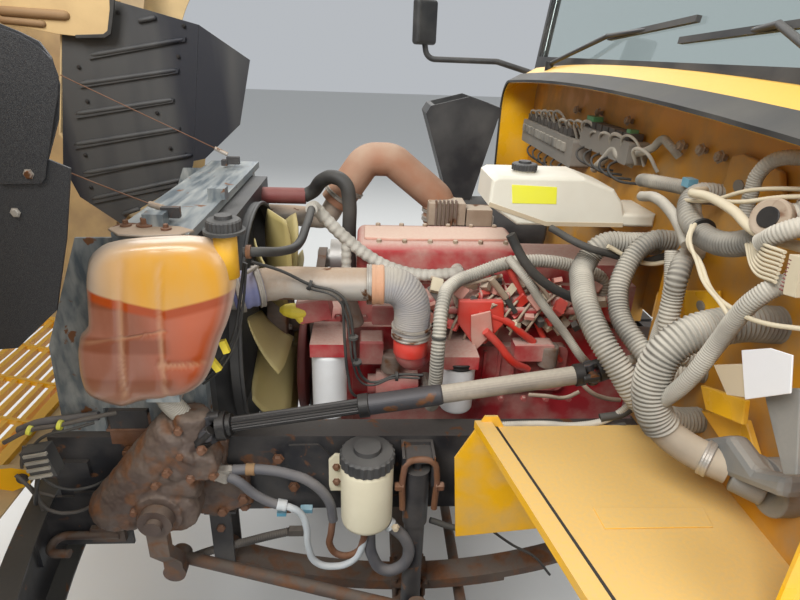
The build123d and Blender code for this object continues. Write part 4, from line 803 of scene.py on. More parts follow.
for index in range(5):
    y = -240 + index * 70
    black_wires.append((4, [(440, y, 845), (480, y + 25, 825), (470, y + 60, 800), (400, y + 90, 790)]))
tubes("black_wires", black_wires, "rubber", step=5.0)
cream_wires = [
    (4, [
        (540, 660, 820), (560, 695, 793), (560, 749, 773), (560, 807, 738), (560, 882, 732),
        (560, 947, 741), (540, 1029, 767),
    ]),
    (4, [
        (540, 670, 825), (565, 707, 803), (565, 748, 772), (565, 780, 748), (565, 852, 728),
        (555, 897, 700),
    ]),
    (4, [(500, 526, 840), (515, 667, 874), (505, 763, 916), (470, 884, 945)]),
    (4, [(520, 700, 880), (530, 786, 900), (510, 854, 925), (470, 914, 940)]),
    (9, [
        (470, 560, 870), (535, 627, 878), (540, 688, 886), (540, 774, 881), (535, 850, 862),
        (480, 900, 850),
    ]),
    (6, [(563, 345, 671), (497, 345, 639), (438, 345, 623), (392, 345, 630)]),
]
for index in range(8):
    z = 812 + index * 7
    cream_wires.append((3, [(520, 800 + index * 8, 835 + index * 2), (545, 880, z - 8), (558, 950, z)]))
tubes("cream_wires", cream_wires, "wire_cream", step=5.0)
ties = [((1340, 402, 573), (1, 0, 0.3), (13, 13, 8)), ((1231, 402, 425), upward, (13, 13, 8))]
ties += [((1221, 402, 350), (0, 0.2, 1), (13, 13, 8)), ((1111, 388, 298), forward, (13, 13, 8))]
ties += [((503, 640, 800), leftward, (28, 28, 8)), ((1003, 404, 430), upward, (20, 20, 6))]
stamps("cable_ties", "band", ties, "rubber")

# Coolant hoses: dark red sleeve, black arch, wrapped pipe and the small hose from the tank
tube("top_hose", 24, [
    (1415, -230, 650), (1385, -225, 668), (1350, -195, 712), (1310, -170, 730), (1270, -148, 712),
    (1257, -140, 660), (1257, -140, 560), (1257, -140, 401),
], "rubber")
tube("top_hose_sleeve", 28, [(1558, -230, 650), (1480, -230, 650), (1410, -230, 650)], "sleeve_red")
wrapped_route = [
    (920, 116, 515), (922, 140, 515), (960, 150, 511), (1042, 150, 509), (1110, 150, 524), (1173, 150, 553),
    (1262, 150, 622), (1325, 150, 686), (1345, 152, 708), (1352, 185, 712),
]
wrapped_pipe = tubes("wrapped_pipe", [
    (19, wrapped_route),
    (15, [(1257, 150, 401), (1257, 150, 500), (1257, 150, 618)]),
], "wrap_white", step=2.0, pitch=21.0, depth=0.05)
tube("tank_hose", 11, [
    (1474, 520, 700), (1440, 515, 699), (1395, 450, 680), (1370, 400, 676), (1355, 300, 698),
    (1352, 184, 712),
], "rubber")
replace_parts(wrapped_pipe, "coolant_hoses")
lower_hose = [(1700, 512, 330), (1692, 506, 296), (1668, 494, 246), (1650, 484, 200), (1642, 478, 170)]
tube("tank_lower_hose", 27, lower_hose, "loom_light", step=1.6, pitch=6.0, depth=0.04)

# Charge air: alloy pipe, blue coupling with clamps, ribbed grey elbow
elbow = [
    (1186, 350, 556), (1150, 350, 556), (1112, 350, 548), (1084, 350, 520), (1073, 350, 480),
    (1073, 350, 440), (1073, 350, 401),
]
charge_elbow = tube("charge_elbow_ribbed", 50, elbow, "elbow_grey", step=1.4, pitch=6.5, depth=0.012)
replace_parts(charge_elbow, "charge_elbow")
left_pipe = [
    (1712, 383, 540), (1640, 383, 540), (1560, 383, 540), (1510, 375, 545), (1470, 356, 552),
    (1420, 350, 556), (1300, 350, 556), (1180, 350, 556),
]
right_pipe = [
    (1310, -300, 610), (1345, -300, 560), (1400, -330, 547), (1470, -370, 541), (1560, -383, 540),
    (1712, -383, 540),
]
charge_pipe = tubes("charge_pipe", [(44, left_pipe), (38, right_pipe)], "pipe_alloy")
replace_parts(charge_pipe, "charge_pipes")
coupling = [(1470, 357, 552), (1500, 369, 548), (1540, 380, 541)]
tube("blue_coupling", 51, coupling, "coupling_blue", step=2.0, pitch=22.0, depth=0.03)
clamps = [((1478, 360, 551), (30, 12, -4), (54, 54, 15)), ((1524, 377, 543), (30, 9, -5), (54, 54, 15))]
clamps += [((1190, 350, 556), forward, (52, 52, 14)), ((1073, 350, 412), upward, (53, 53, 16))]
clamps += [((1073, 350, 436), upward, (53, 53, 7))]
stamps("hose_clamps", "band", clamps, "clamp_steel")
stamps("elbow_cuff", "band", [((1168, 350, 556), forward, (51, 51, 34))], "cuff_peach")
bolts = [((1476, 360, 607), (0.4, 1, 0), (5, 5, 60)), ((1522, 377, 599), (0.3, 1, 0), (5, 5, 60))]
stamps("clamp_bolts", "rod", bolts, "clamp_steel")

# Brown intake elbow with its ribbed sleeve at the hot end
sleeve = [
    ((1292, -300, 636), (0.57, 0, -0.82), (62, 62, 16)),
    ((1268, -300, 671), (0.57, 0, -0.82), (62, 62, 16)),
]
sleeve += [((930, -312, 560), upward, (62, 62, 18)), ((930, -312, 590), upward, (62, 62, 12))]
stamps("sleeve_bands", "band", sleeve, "clamp_steel")
stamps("sleeve_ribs", "band", [
    ((930, -312, z), upward, (61, 61, 9))
    for z in (604, 616, 628)
], "brown_rubber")

# Steering shaft: greasy joint, splined bar, dark tube and dusty tube
shaft_low = Vector((1600, 505, 214))
shaft_high = Vector((618, 505, 380))
along = (shaft_high - shaft_low).normalized()


def on_shaft(distance):
    return tuple(shaft_low + along * distance)


def shaft_piece(name, shape, start, end, radius, look):
    places = [(on_shaft(start), tuple(along), (radius, radius, end - start))]
    return stamps(name, shape, places, look)


splined = shaft_piece("splined_bar", "spline", 38, 425, 20, "grease_black")
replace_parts(splined, "steering_shaft")
shaft_piece("slip_tube", "can", 407, 611, 27, "tube_dark")
shaft_piece("upper_tube", "rod", 605, 958, 24, "tube_dusty")
shaft_piece("slip_seal", "can", 391, 419, 31, "grease_black")
shaft_piece("spline_collar", "can", 30, 62, 29, "grease_black")
column = Vector((402, 505, 466))
column_line = (column - shaft_high).normalized()
gear_neck = Vector((1640, 505, 170))
neck_line = (gear_neck - shaft_low).normalized()
yokes = []
crosses = []
joints = ((shaft_low, neck_line, along, 1.28), (shaft_high, along * -1, column_line, 1.0))
for centre, first, second, big in joints:
    side = Vector((0, 1, 0))
    for line in (first, second):
        yokes.append((tuple(centre + line * 18 * big), tuple(line), (29 * big, 29 * big, 26)))
        across = side if line is first else line.cross(side).normalized()
        for sign in (-1, 1):
            arm = centre + across * (sign * 23 * big) - line * 14 * big
            yokes.append((tuple(arm), tuple(line), (11 * big, 11 * big, 42 * big)))
            crosses.append((
                tuple(centre + across * (sign * 12 * big)),
                tuple(across * sign),
                (14 * big, 14 * big, 20 * big),
            ))
stamps("joint_yokes", "can", yokes, "grease_black")
stamps("joint_cups", "can", crosses, "tube_dark")
stamps("column_end", "rod", [
    between(tuple(shaft_high + column_line * 36), (389, 505, 471), 13),
], "tube_dusty")
stamps("column_flange", "can", [((389, 505, 466), forward, (40, 40, 22))], "rubber")

# Surge tank: a blow moulded shell with a seam all round, grooves, neck and cap


def smooth_loop(points, count):
    """Points evenly spread on a soft closed curve through the given ones."""
    steps = []
    total = len(points)
    steps_between = 12
    for index in range(total):
        p0, p1, p2, p3 = (Vector(points[(index + k - 1) % total]) for k in range(4))
        for k in range(steps_between):
            t = k / steps_between
            bend = 2 * p1 + (p2 - p0) * t + (2 * p0 - 5 * p1 + 4 * p2 - p3) * t * t
            steps.append(0.5 * (bend + (3 * p1 - p0 - 3 * p2 + p3) * t ** 3))
    spans = [(steps[(k + 1) % len(steps)] - steps[k]).length for k in range(len(steps))]
    pitch = sum(spans) / count
    loop = []
    walked = 0.0
    for step, span in zip(steps, spans):
        if walked >= len(loop) * pitch and len(loop) < count:
            loop.append(step)
        walked += span
    return loop


tank_outline = [
    (1752, 719), (1781, 708), (1810, 681), (1824, 637), (1831, 586), (1842, 517), (1867, 486), (1879, 438),
    (1884, 377), (1877, 332), (1855, 313), (1797, 292), (1750, 309), (1692, 315), (1640, 328), (1599, 359),
    (1573, 403), (1544, 481), (1525, 523), (1509, 570), (1495, 629), (1495, 667), (1504, 701), (1530, 725),
    (1566, 734), (1610, 735), (1700, 728),
]
tank_seam = 515.0
tank_bulge = 52.0
tank_back = 48
groove_depth = 6
seam_step = 4
wall_reach = 0.985


def bell(offset, width):
    """1 where offset is 0, fading to 0 a few widths away."""
    return math.exp(-((offset / width) ** 2))


def tank_groove(x, z):
    """1 in a groove of the tank's near wall, 0 between them."""
    slant = (z - 675) * 0.12
    deep = bell(x - 1732 + slant, 7) + bell(x - 1650 + slant * 0.7, 6)
    ledge = bell(z - 432 - (x - 1610) * 0.03, 7) if x < 1680 else 0.0
    crease = bell(z - 515 + (x - 1700) * 0.2, 3) if x > 1650 else 0.0
    return min(1.0, deep * (0.9 if z < 690 else 0.3) + ledge + 0.6 * crease)


def tank_shell():
    loop = smooth_loop(tank_outline, 96)
    middle = sum(loop, Vector((0, 0))) / len(loop)
    # Reach from the middle, and -1 far wall, 0 and 0.5 the seam's two faces, 1 near wall
    rings = [(reach, -1) for reach in (0.02, 0.3, 0.6, 0.85, 0.96)]
    rings += [(wall_reach, 0), (1.0, 0), (1.0, 0.5), (wall_reach, 0.5)]
    rings += [(wall_reach - 0.965 * k / 22, 1) for k in range(1, 23)]
    points = []
    rims = []
    grooves = []
    for reach, side in rings:
        for edge in loop:
            flat = middle + (edge - middle) * reach
            rise = (1 - min(reach / wall_reach, 1.0) ** 3.2) ** (1 / 2.6)
            groove = tank_groove(flat.x, flat.y) * min(1.0, rise * 1.2) if side == 1 else 0.0
            near_wall = seam_step + tank_bulge * rise - groove_depth * groove
            swell = {-1: -tank_back * rise, 0: 0, 0.5: seam_step, 1: near_wall}[side]
            points.append(metres((flat.x, tank_seam + swell, flat.y)))
            rims.append(1.0 if side in (0, 0.5) else max(0.0, reach - 0.80) * 4)
            grooves.append(groove)
    count = len(loop)
    faces = ring_faces(len(rings), count)
    faces.append(tuple(range(count)))
    faces.append(tuple((len(rings) - 1) * count + index for index in range(count)))
    shell = mesh_object("tank_shell", points, faces)
    for label, values in (("rim", rims), ("groove", grooves)):
        held = shell.data.attributes.new(label, "FLOAT", "POINT")
        for index, value in enumerate(values):
            held.data[index].value = value
    for polygon in shell.data.polygons:
        polygon.use_smooth = True
    dress(shell, looks["tank_cloudy"])
    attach(shell, "root")
    return shell


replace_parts(tank_shell(), "surge_tank")
neck_x = 1512
neck_y = 517
reservoir_x = 1190
reservoir_y = 494
stamps("tank_neck", "rod", [((neck_x, neck_y, 640), upward, (26, 26, 108))], "neck_amber", smooth=True)
stamps("tank_neck_flange", "can", [((neck_x, neck_y, 744), upward, (46, 46, 8))], "black_plastic")
cap_places = [
    ((neck_x, neck_y, 750), upward, (39, 39, 34)),
    ((reservoir_x, reservoir_y, 92), upward, (76, 76, 52)),
    ((757, 150, 830), upward, (36, 36, 24)),
]
tank_caps = stamps("tank_caps_ribbed", "cap", cap_places, "black_plastic")
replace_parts(tank_caps, "tank_caps")
stamps("tank_hose_clamp", "band", [((1462, 518, 700), forward, (15, 15, 11))], "rust_deep")

# Power steering reservoir with its tab, caps and hoses
reservoir_can = [((reservoir_x, reservoir_y, -112), upward, (73, 73, 206))]
reservoir = stamps("reservoir_body", "can", reservoir_can, "cream_plastic", smooth=True)
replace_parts(reservoir, "steering_reservoir")
slab("reservoir_tab", [
    (1240, -40), (1294, -40), (1298, -20), (1298, 70), (1280, 90), (1240, 86),
], "y", 452, 462, "cream_plastic", edge=3)
hexagon = [((reservoir_x, reservoir_y, 128), upward, (17, 17, 16))]
stamps("reservoir_cap_hexagon", "bolt", hexagon, "black_plastic")
tab_bolts = [((1276, 462, 48), leftward, (9, 9, 12)), ((1276, 462, -4), leftward, (9, 9, 12))]
stamps("tab_bolts", "bolt", tab_bolts, "rust_deep")
tube("pressure_hose", 14, [
    (1552, 500, 72), (1475, 500, 72), (1398, 500, 54), (1347, 500, 28), (1298, 500, -37), (1285, 500, -110),
], "hose_worn")
return_pipe = [
    (1286, 500, -105), (1292, 500, -160), (1296, 500, -207), (1267, 500, -247), (1222, 500, -240),
    (1200, 505, -190), (1196, 510, -105),
]
tube("rusty_pipe", 10, return_pipe, "rust_deep")
tube("return_hose", 13, [
    (1560, 515, 60), (1541, 520, 54), (1492, 520, 2), (1440, 520, -31), (1418, 520, -37),
], "hose_worn")
white_route = [
    (1425, 520, -34), (1400, 522, -42), (1374, 512, -75), (1361, 508, -127), (1358, 506, -204),
    (1336, 506, -268), (1281, 508, -283), (1231, 508, -262), (1202, 506, -207), (1197, 502, -105),
]
tube("white_pipe", 10, white_route, "pipe_white")
tube("drain_hose", 17, [
    (1140, 510, -104), (1110, 510, -135), (1074, 510, -185), (1066, 510, -245), (1094, 510, -292),
    (1136, 508, -300), (1172, 500, -250), (1180, 490, -190), (1180, 470, -150),
], "hose_worn")
hose_bands = [
    ((1424, 520, -34), (1, 0, 0.25), (15, 15, 26)),
    ((1197, 503, -122), upward, (13, 13, 22)),
    ((1126, 510, -119), (-0.7, 0, -0.7), (20, 20, 14)),
]
stamps("hose_bands", "band", hose_bands, "pipe_white")
stamps("copper_sleeve", "band", [((1505, 500, 73), forward, (16, 16, 24))], "hood_brown")
stamps("gear_fittings", "bolt", [
    ((1590, 500, 72), (-1, 0, 0), (15, 15, 42)),
    ((1596, 512, 64), (-0.8, 0, -0.4), (14, 14, 40)),
], "clamp_steel")
stamps("band_screw", "bolt", [((1108, 528, -112), leftward, (9, 9, 14))], "card_tan")


# Castings: the plain solids with softened edges and a rough cast skin


def cast(name, node, look, voxel, rough, added=()):
    """Replaces a node by its own shape and the added ones, remeshed, smoothed and roughened."""
    mesh = nodes[node].data.copy()
    skin = bmesh.new()
    skin.from_mesh(mesh)
    bmesh.ops.remove_doubles(skin, verts=skin.verts, dist=0.00002)
    for points, faces in added:
        lump = mesh_object(name + "_lump", points, faces)
        skin.from_mesh(lump.data)
        bpy.data.objects.remove(lump)
    skin.to_mesh(mesh)
    skin.free()
    rough_piece = linked(name + "_rough", mesh)
    remesh = rough_piece.modifiers.new("grain", "REMESH")
    remesh.mode = "VOXEL"
    remesh.voxel_size = voxel * 0.001
    soften = rough_piece.modifiers.new("soften", "SMOOTH")
    soften.factor = 0.5
    soften.iterations = 5
    finished = baked(rough_piece)
    outward = [vertex.normal.copy() for vertex in finished.vertices]
    coarse = 38
    fine = 110
    for vertex, normal in zip(finished.vertices, outward):
        lump = noise.noise(vertex.co * coarse) + 0.5 * noise.noise(vertex.co * fine)
        vertex.co += normal * (lump * rough * 0.001)
    for polygon in finished.polygons:
        polygon.use_smooth = True
    piece = linked(name, finished)
    dress(piece, looks[look])
    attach(piece, "root")
    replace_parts(piece, node)


def turned_between(start, end, radius):
    """Points and faces of a round bar from start to end."""
    soft_bar = [(0.8, 0.0), (0.96, 0.04), (1.0, 0.1), (1.0, 0.9), (0.96, 0.96), (0.8, 1.0)]
    points, faces = lathe(soft_bar, 28)
    line = Vector(end) - Vector(start)
    turn = line.to_track_quat("Z", "Y")
    placed = []
    for x, y, height in points:
        spot = Vector(start) + turn @ Vector((x * radius, y * radius, height * line.length))
        placed.append(metres(spot))
    return placed, faces


gear_lumps = [
    turned_between((1900, 497, -78), (1664, 497, 214), 71),
    turned_between((1790, 505, 40), (1640, 505, 60), 58),
    turned_between((1650, 500, 150), (1640, 500, 262), 46),
    turned_between((1620, 470, 120), (1620, 556, 120), 44),
    turned_between((1700, 470, -30), (1700, 560, -30), 60),
    prism([
        (1613, 187), (1568, 139), (1585, 42), (1527, 24), (1515, -81), (1621, -132), (1750, -100),
    ], "y", 436, 462),
]
cast("steering_gear_cast", "steering_gear", "casting_dirty", 4.0, 3.2, gear_lumps)
cast("turbocharger_cast", "turbocharger", "dust_heavy", 4.0, 1.4)
gear_bolts = [
    (1664, 232, 540), (1612, 176, 546), (1590, 96, 546), (1646, 92, 552), (1700, 120, 564),
    (1662, 168, 556), (1735, 78, 560), (1800, -10, 562),
]
gear_bolt_places = [((x, y, z), leftward, (11, 11, 16)) for x, z, y in gear_bolts]
stamps("gear_bolts", "bolt", gear_bolt_places, "rust_deep")
plate_bolts = [
    ((x, 462, z), leftward, (14, 14, 14))
    for x, z in ((1545, 0), (1540, -62), (1604, -108), (1590, 20))
]
stamps("gear_plate_bolts", "bolt", plate_bolts, "rust_deep")
bracket_bolts = [
    (1540, -10), (1545, -110), (1620, -190), (1440, 60), (1400, -40), (1420, -120), (1010, 60), (900, 20),
]
bracket_places = [((x, 440, z), leftward, (13, 13, 14)) for x, z in bracket_bolts]
stamps("rail_bolts", "bolt", bracket_places, "rust_deep")
conduit_route = [
    (1722, 430, -322), (1654, 430, -293), (1560, 428, -266), (1484, 430, -240), (1424, 430, -224),
]
tube("dark_conduit", 13, conduit_route, "conduit_dark", step=1.4, pitch=7.0, depth=0.07)
stamps("conduit_plugs", "crate", [((1402, 430, -222), upward, (44, 22, 22))], "conduit_dark")
stamps("blue_plugs", "crate", [
    ((1362, 480, -88), (0, 0.2, 1), (34, 18, 16)),
    ((1432, 486, -96), upward, (26, 16, 12)),
], "plug_blue")
shock_route = [
    (1000, 512, -60), (1000, 512, 70), (1008, 512, 98), (1045, 512, 112), (1082, 512, 98), (1090, 512, 70),
    (1090, 512, -60),
]
tube("shock_loop", 9, shock_route, "rust_deep")
stamps("shock_bolt", "bolt", [
    ((1090, 512, 20), forward, (13, 13, 26)),
    ((1000, 512, 20), (-1, 0, 0), (13, 13, 26)),
], "rust_deep")

# Radiator header: bolts, plates and the two cables that hold the hood
dress(nodes["radiator_support"], looks["header_streaked"])
plate_outline = [
    (1797, 440), (1789, 402), (1764, 388), (1640, 412), (1600, 440), (1622, 470), (1700, 486), (1760, 480),
]
slab("tank_top_plate", plate_outline, "z", 719, 725, "pipe_alloy", edge=2)
washers = []
studs = []
for x, y, size in ((1764, 418, 13), (1721, 413, 20), (1664, 441, 12)):
    washers.append(((x, y, 725), upward, (size, size, 5)))
    studs.append(((x, y, 729), upward, (size * 0.52, size * 0.52, size * 0.9)))
stamps("plate_washers", "can", washers, "rust_deep")
stamps("plate_studs", "bolt", studs, "rust_deep")
clip_places = []
for y in (372, -330):
    clip_places += [((1672, y, 748), upward, (44, 18, 26)), ((1702, y, 740), upward, (20, 26, 20))]
stamps("cable_clips", "crate", clip_places, "frame_paint")
ferrules = [
    between((1752, 282, 743), (1669, 351, 743), 8),
    between((1690, -330, 768), (1732, -330, 789), 7),
]
stamps("cable_ferrules", "rod", ferrules, "pipe_alloy")
near_cable = tube("near_cable", 1.6, [
    (1748, 286, 744), (1790, 300, 766), (1884, 330, 817), (2010, 370, 890),
], "rust_deep", body=None)
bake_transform(near_cable)
far_cable = tube("far_cable", 1.6, [
    (1730, -330, 788), (1880, -330, 858), (2050, -330, 937), (2213, -330, 1013),
], "rust_deep", body=None)
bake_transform(far_cable)

# Hood: ribs and bolts of the far liner, a leaf of the near one, a moulded panel with two ribs
rib_lines = [
    ((2213, 1070), (1866, 1136)), ((2272, 970), (1903, 1031)), ((2303, 863), (1930, 926)),
    ((2328, 749), (1928, 821)), ((2315, 639), (1885, 721)), ((2301, 536), (1929, 625)),
    ((2025, 1190), (1959, 1204)), ((2190, 475), (2118, 501)),
]
ribs = []
far_liner_y = -577
for start, end in rib_lines:
    centre = ((start[0] + end[0]) / 2, far_liner_y, (start[1] + end[1]) / 2)
    line = Vector((end[0] - start[0], 0, end[1] - start[1]))
    ribs.append((centre, tuple(line), (9, 9, line.length)))
stamps("liner_ribs", "bar", ribs, "liner_sheet", "hood", smooth=True)
liner_bolts = [
    (2091, 1215), (2261, 1029), (2252, 910), (2295, 710), (2296, 583), (1865, 1180), (1897, 1077),
    (2000, 875), (1966, 744),
]
stamps("liner_bolts", "bolt", [
    ((x, far_liner_y + 1, z), leftward, (6, 6, 5))
    for x, z in liner_bolts
], "grease_black", "hood")
leaf = [
    (1919, 1150), (1852, 1138), (1822, 1128), (1793, 1110), (1774, 1089), (1768, 1060), (1776, 1026),
    (1801, 957), (1821, 902), (1830, 872), (1840, 860), (1919, 857),
]
slab("near_leaf", leaf, "y", 588, 592, "liner_sheet", "hood", edge=1)
stamps("leaf_bolts", "bolt", [
    ((1860, 592, 879), leftward, (8, 8, 5)),
    ((1905, 588, 800), leftward, (8, 8, 5)),
], "clamp_steel", "hood")
panel = [
    (2491, 1250), (2089, 1265), (2099, 1221), (2118, 1152), (2138, 1139), (2238, 1133), (2299, 1137),
    (2366, 1148), (2425, 1155), (2491, 1156),
]
slab("hood_panel", panel, "y", -547, -543, "panel_tan", "hood", edge=1.5)
panel_edge = [
    (2099, 1266), (2080, 1266), (2092, 1215), (2113, 1143), (2136, 1130), (2238, 1125), (2238, 1137),
    (2140, 1143), (2124, 1154), (2105, 1221),
]
slab("hood_panel_edge", panel_edge, "y", -549, -540, "rubber", "hood", edge=2)
swells = [
    ((2367, -544, 1201), (1, 0, 0.03), (17, 17, 244)),
    ((2410, -544, 1172), (1, 0, 0.06), (13, 13, 158)),
]
stamps("hood_boss", "bar", swells, "hood_brown", "hood", smooth=True)

# Washer tank: blank yellow label and the tan strap under it
slab("washer_label", [
    (808, 803), (683, 799), (678, 752), (801, 752),
], "y", 230, 231, "label_yellow", edge=0.3)
slab("washer_strap", [
    (866, 742), (700, 690), (480, 690), (480, 702), (700, 702), (864, 754),
], "y", 229, 232, "card_tan", edge=0.5)

# Firewall: bump plate, studs, brackets, panels and cards
slab("bump_plate", [
    (517, 838), (525, 941), (560, 950), (688, 938), (716, 888), (700, 838),
], "x", 394, 408, "firewall_dusty", edge=5)
slab("side_plate_yellow", [
    (460, 595), (591, 650), (634, 557), (507, 492),
], "x", 390, 398, "bus_yellow", edge=3)
slab("low_plate_yellow", [
    (674, 382), (814, 454), (892, 391), (764, 366),
], "x", 405, 420, "bus_yellow", edge=3)
slab("flange_yellow", [(734, 488), (871, 540), (883, 492), (772, 450)], "x", 468, 480, "bus_yellow", edge=3)
grommets = [((408, 579, 885), forward, (13, 17, 4)), ((398, 545, 590), forward, (12, 16, 4))]
grommets += [((398, 540, 520), forward, (12, 14, 4)), ((392, 440, 560), forward, (12, 12, 4))]
stamps("grommets", "can", grommets, "hose_grey", smooth=True)
studs = []
for y, z in ((306, 926), (399, 930), (480, 927), (-272, 950), (-26, 950), (-490, 938)):
    studs += [((390, y, z), (1, 0, 0.15), (6, 6, 30)), ((404, y, z + 2), (1, 0, 0.15), (12, 12, 12))]
stamps("firewall_studs", "bolt", studs, "dust_heavy")
casting_line = [(783, 381), (874, 462), (958, 448), (1029, 497), (1037, 451), (922, 393), (803, 338)]
slab("grey_casting", casting_line, "x", 450, 496, "casting_grey", edge=14)
slab("foil_card", [
    (929, 679), (988, 715), (1034, 728), (1054, 674), (971, 608),
], "x", 560, 563, "foil", edge=1)
slab("tan_card", [(866, 614), (951, 666), (972, 612), (922, 585)], "x", 556, 559, "card_tan", edge=1)
slab("grey_plate", [
    (970, 630), (1041, 675), (1089, 549), (1067, 531),
], "x", 530, 538, "casting_grey", edge=2)
stamps("wire_plug", "crate", [((548, 985, 836), (0, -0.2, 1), (30, 26, 62))], "wire_cream")
pins = [((562, 968, 808 + index * 6), leftward, (1.4, 1.4, 6)) for index in range(9)]
stamps("plug_pins", "rod", pins, "sleeve_red")
stamps("right_plug", "can", [((500, 850, 880), (0.8, 0.3, 0.3), (34, 34, 40))], "dust_heavy")
# A thin black disc painted as the shade inside the plug's hole
stamps("right_plug_hole", "can", [((534, 862, 892), (0.8, 0.3, 0.3), (18, 18, 5))], "grease_black")

# Junction box: relays, fuses and plugs over it
relays = []
fuses = []
for index in range(12):
    y = -985 + index * 52
    relays.append(((426, y, 862 + (index % 3) * 3), upward, (40, 40, 28)))
    fuses.append(((462, y, 815), forward, (30, 38, 14)))
for index in range(7):
    relays.append(((420, -262 + index * 54, 915), upward, (44, 42, 22)))
stamps("relays", "crate", relays, "conduit_dark")
stamps("box_plugs", "crate", fuses, "loom")
stamps("green_plugs", "crate", [
    ((424, -244, 934), upward, (34, 60, 16)),
    ((424, 60, 930), upward, (26, 26, 12)),
], "plug_green")
stamps("blue_plug", "crate", [((455, 470, 868), upward, (22, 30, 20))], "plug_blue")
box_wires = []
for index in range(14):
    y = -960 + index * 84
    lift = 12 + (index * 37) % 30
    box_wires.append((4 + index % 3, [
        (430, y, 850), (455, y + 25, 880 + lift), (440, y + 65, 880 + lift), (410, y + 95, 845),
    ]))
tubes("box_wires", box_wires, "loom_light", step=5.0)

# Engine: dusty covers, injector lines, brackets, fittings and plugs
cap_rows = []
for index in range(6):
    for y in (-88, 88):
        cap_rows.append(((770 + index * 78, y, 588), upward, (8, 8, 12)))
stamps("cover_bolts", "bolt", cap_rows, "dust_heavy")
slab("cover_top_rib", [
    (745, -60), (1205, -60), (1205, 66), (1120, 76), (745, 62),
], "z", 586, 598, "cover_dust", edge=5)
fuel_lines = []
for index in range(6):
    x = 930 - index * 46
    fuel_lines.append((4, [
        (x + 20, 240, 330 + index * 6), (x + 6, 250, 400), (x - 30, 236, 452), (x - 66, 205, 470),
        (x - 90, 150, 478),
    ]))
tubes("fuel_lines", fuel_lines, "dust_heavy", step=4.0)
red_tubes = [
    (9, [(795, 200, 571), (740, 205, 483), (682, 205, 384), (629, 205, 298), (583, 205, 245)]),
    (11, [(870, 250, 433), (820, 250, 418), (773, 250, 397), (739, 250, 369), (690, 240, 330)]),
    (12, [(850, 280, 385), (810, 280, 345), (760, 280, 285), (700, 250, 240)]),
]
tubes("red_tubes", red_tubes, "red_worn")
beige_tubes = [
    (6, [(883, 230, 416), (850, 230, 440), (802, 230, 466)]),
    (10, [(840, 240, 533), (815, 240, 504), (790, 240, 474)]),
    (6, [(1010, 200, 520), (940, 215, 500), (880, 215, 512), (800, 205, 530)]),
    (7, [(700, 200, 520), (660, 215, 470), (640, 215, 400), (610, 230, 350)]),
    (6, [(560, 330, 210), (600, 330, 190), (662, 330, 196), (700, 300, 180)]),
    (7, [(430, 330, 181), (477, 330, 188), (528, 330, 212), (560, 300, 240)]),
]
tubes("beige_tubes", beige_tubes, "dust_heavy", step=4.0)
tube("black_stalk", 8, [(800, 240, 487), (780, 240, 458), (757, 240, 428)], "rubber")
pink_frame = [(894, 429), (838, 444), (825, 373), (877, 307), (888, 358)]
slab("pink_bracket", pink_frame, "y", 262, 270, "pink_dusty", edge=2)
slab("red_bracket", [
    (930, 470), (800, 470), (790, 400), (840, 330), (880, 330), (930, 400),
], "y", 236, 258, "red_worn", edge=4)
blocks = [
    ((1345, 230, 440), (0.2, 0, 1), (90, 90, 70)), ((1180, 225, 300), (0, 0.2, 1), (70, 60, 90)),
    ((1140, 235, 420), upward, (80, 40, 60)), ((690, 235, 300), upward, (120, 50, 60)),
]
stamps("engine_blocks", "box", blocks, "engine_red")
fittings = [
    ((1225, 235, 380), (0.3, 0, 1), (25, 25, 110)),
    ((640, 240, 250), upward, (30, 30, 70)),
    ((1120, 240, 230), upward, (30, 30, 60)),
]
stamps("engine_fittings", "can", fittings, "turbo_iron")
side_bolts = []
for index in range(11):
    side_bolts.append(((500 + index * 78, 212, 395), leftward, (9, 9, 12)))
    side_bolts.append(((540 + index * 74, 212, 110), leftward, (9, 9, 12)))
stamps("side_bolts", "bolt", side_bolts, "engine_red")
stamps("elbow_neck", "can", [((1073, 350, 352), upward, (48, 48, 52))], "red_worn", smooth=True)
stamps("crank_disc", "can", [((1386, 40, 150), forward, (158, 158, 26))], "sleeve_red", smooth=True)
stamps("yellow_plugs", "crate", [
    ((1540, 505, 452), (0.3, 0, 1), (16, 14, 34)),
    ((1567, 505, 400), (0.6, 0, 1), (16, 14, 34)),
], "plug_yellow")
stamps("yellow_fitting", "blob", [
    ((1400, 262, 436), (1, 0, 0.1), (22, 22, 42)),
    ((1385, 262, 420), (0.4, 0, 1), (16, 16, 26)),
], "plug_yellow")
stamps("head_ring", "band", [((925, 300, 300), upward, (52, 52, 20))], "grease_black")
stamps("turbo_block", "crate", [
    ((915, -250, 600), upward, (130, 90, 80)),
    ((800, -240, 590), upward, (90, 80, 60)),
], "dust_heavy")
fins = [((955 - index * 14, -206, 606), upward, (6, 20, 90)) for index in range(6)]
stamps("turbo_fins", "crate", fins, "turbo_iron")
stamps("green_cover", "box", [((782, -236, 575), upward, (70, 60, 46))], "loom_light")

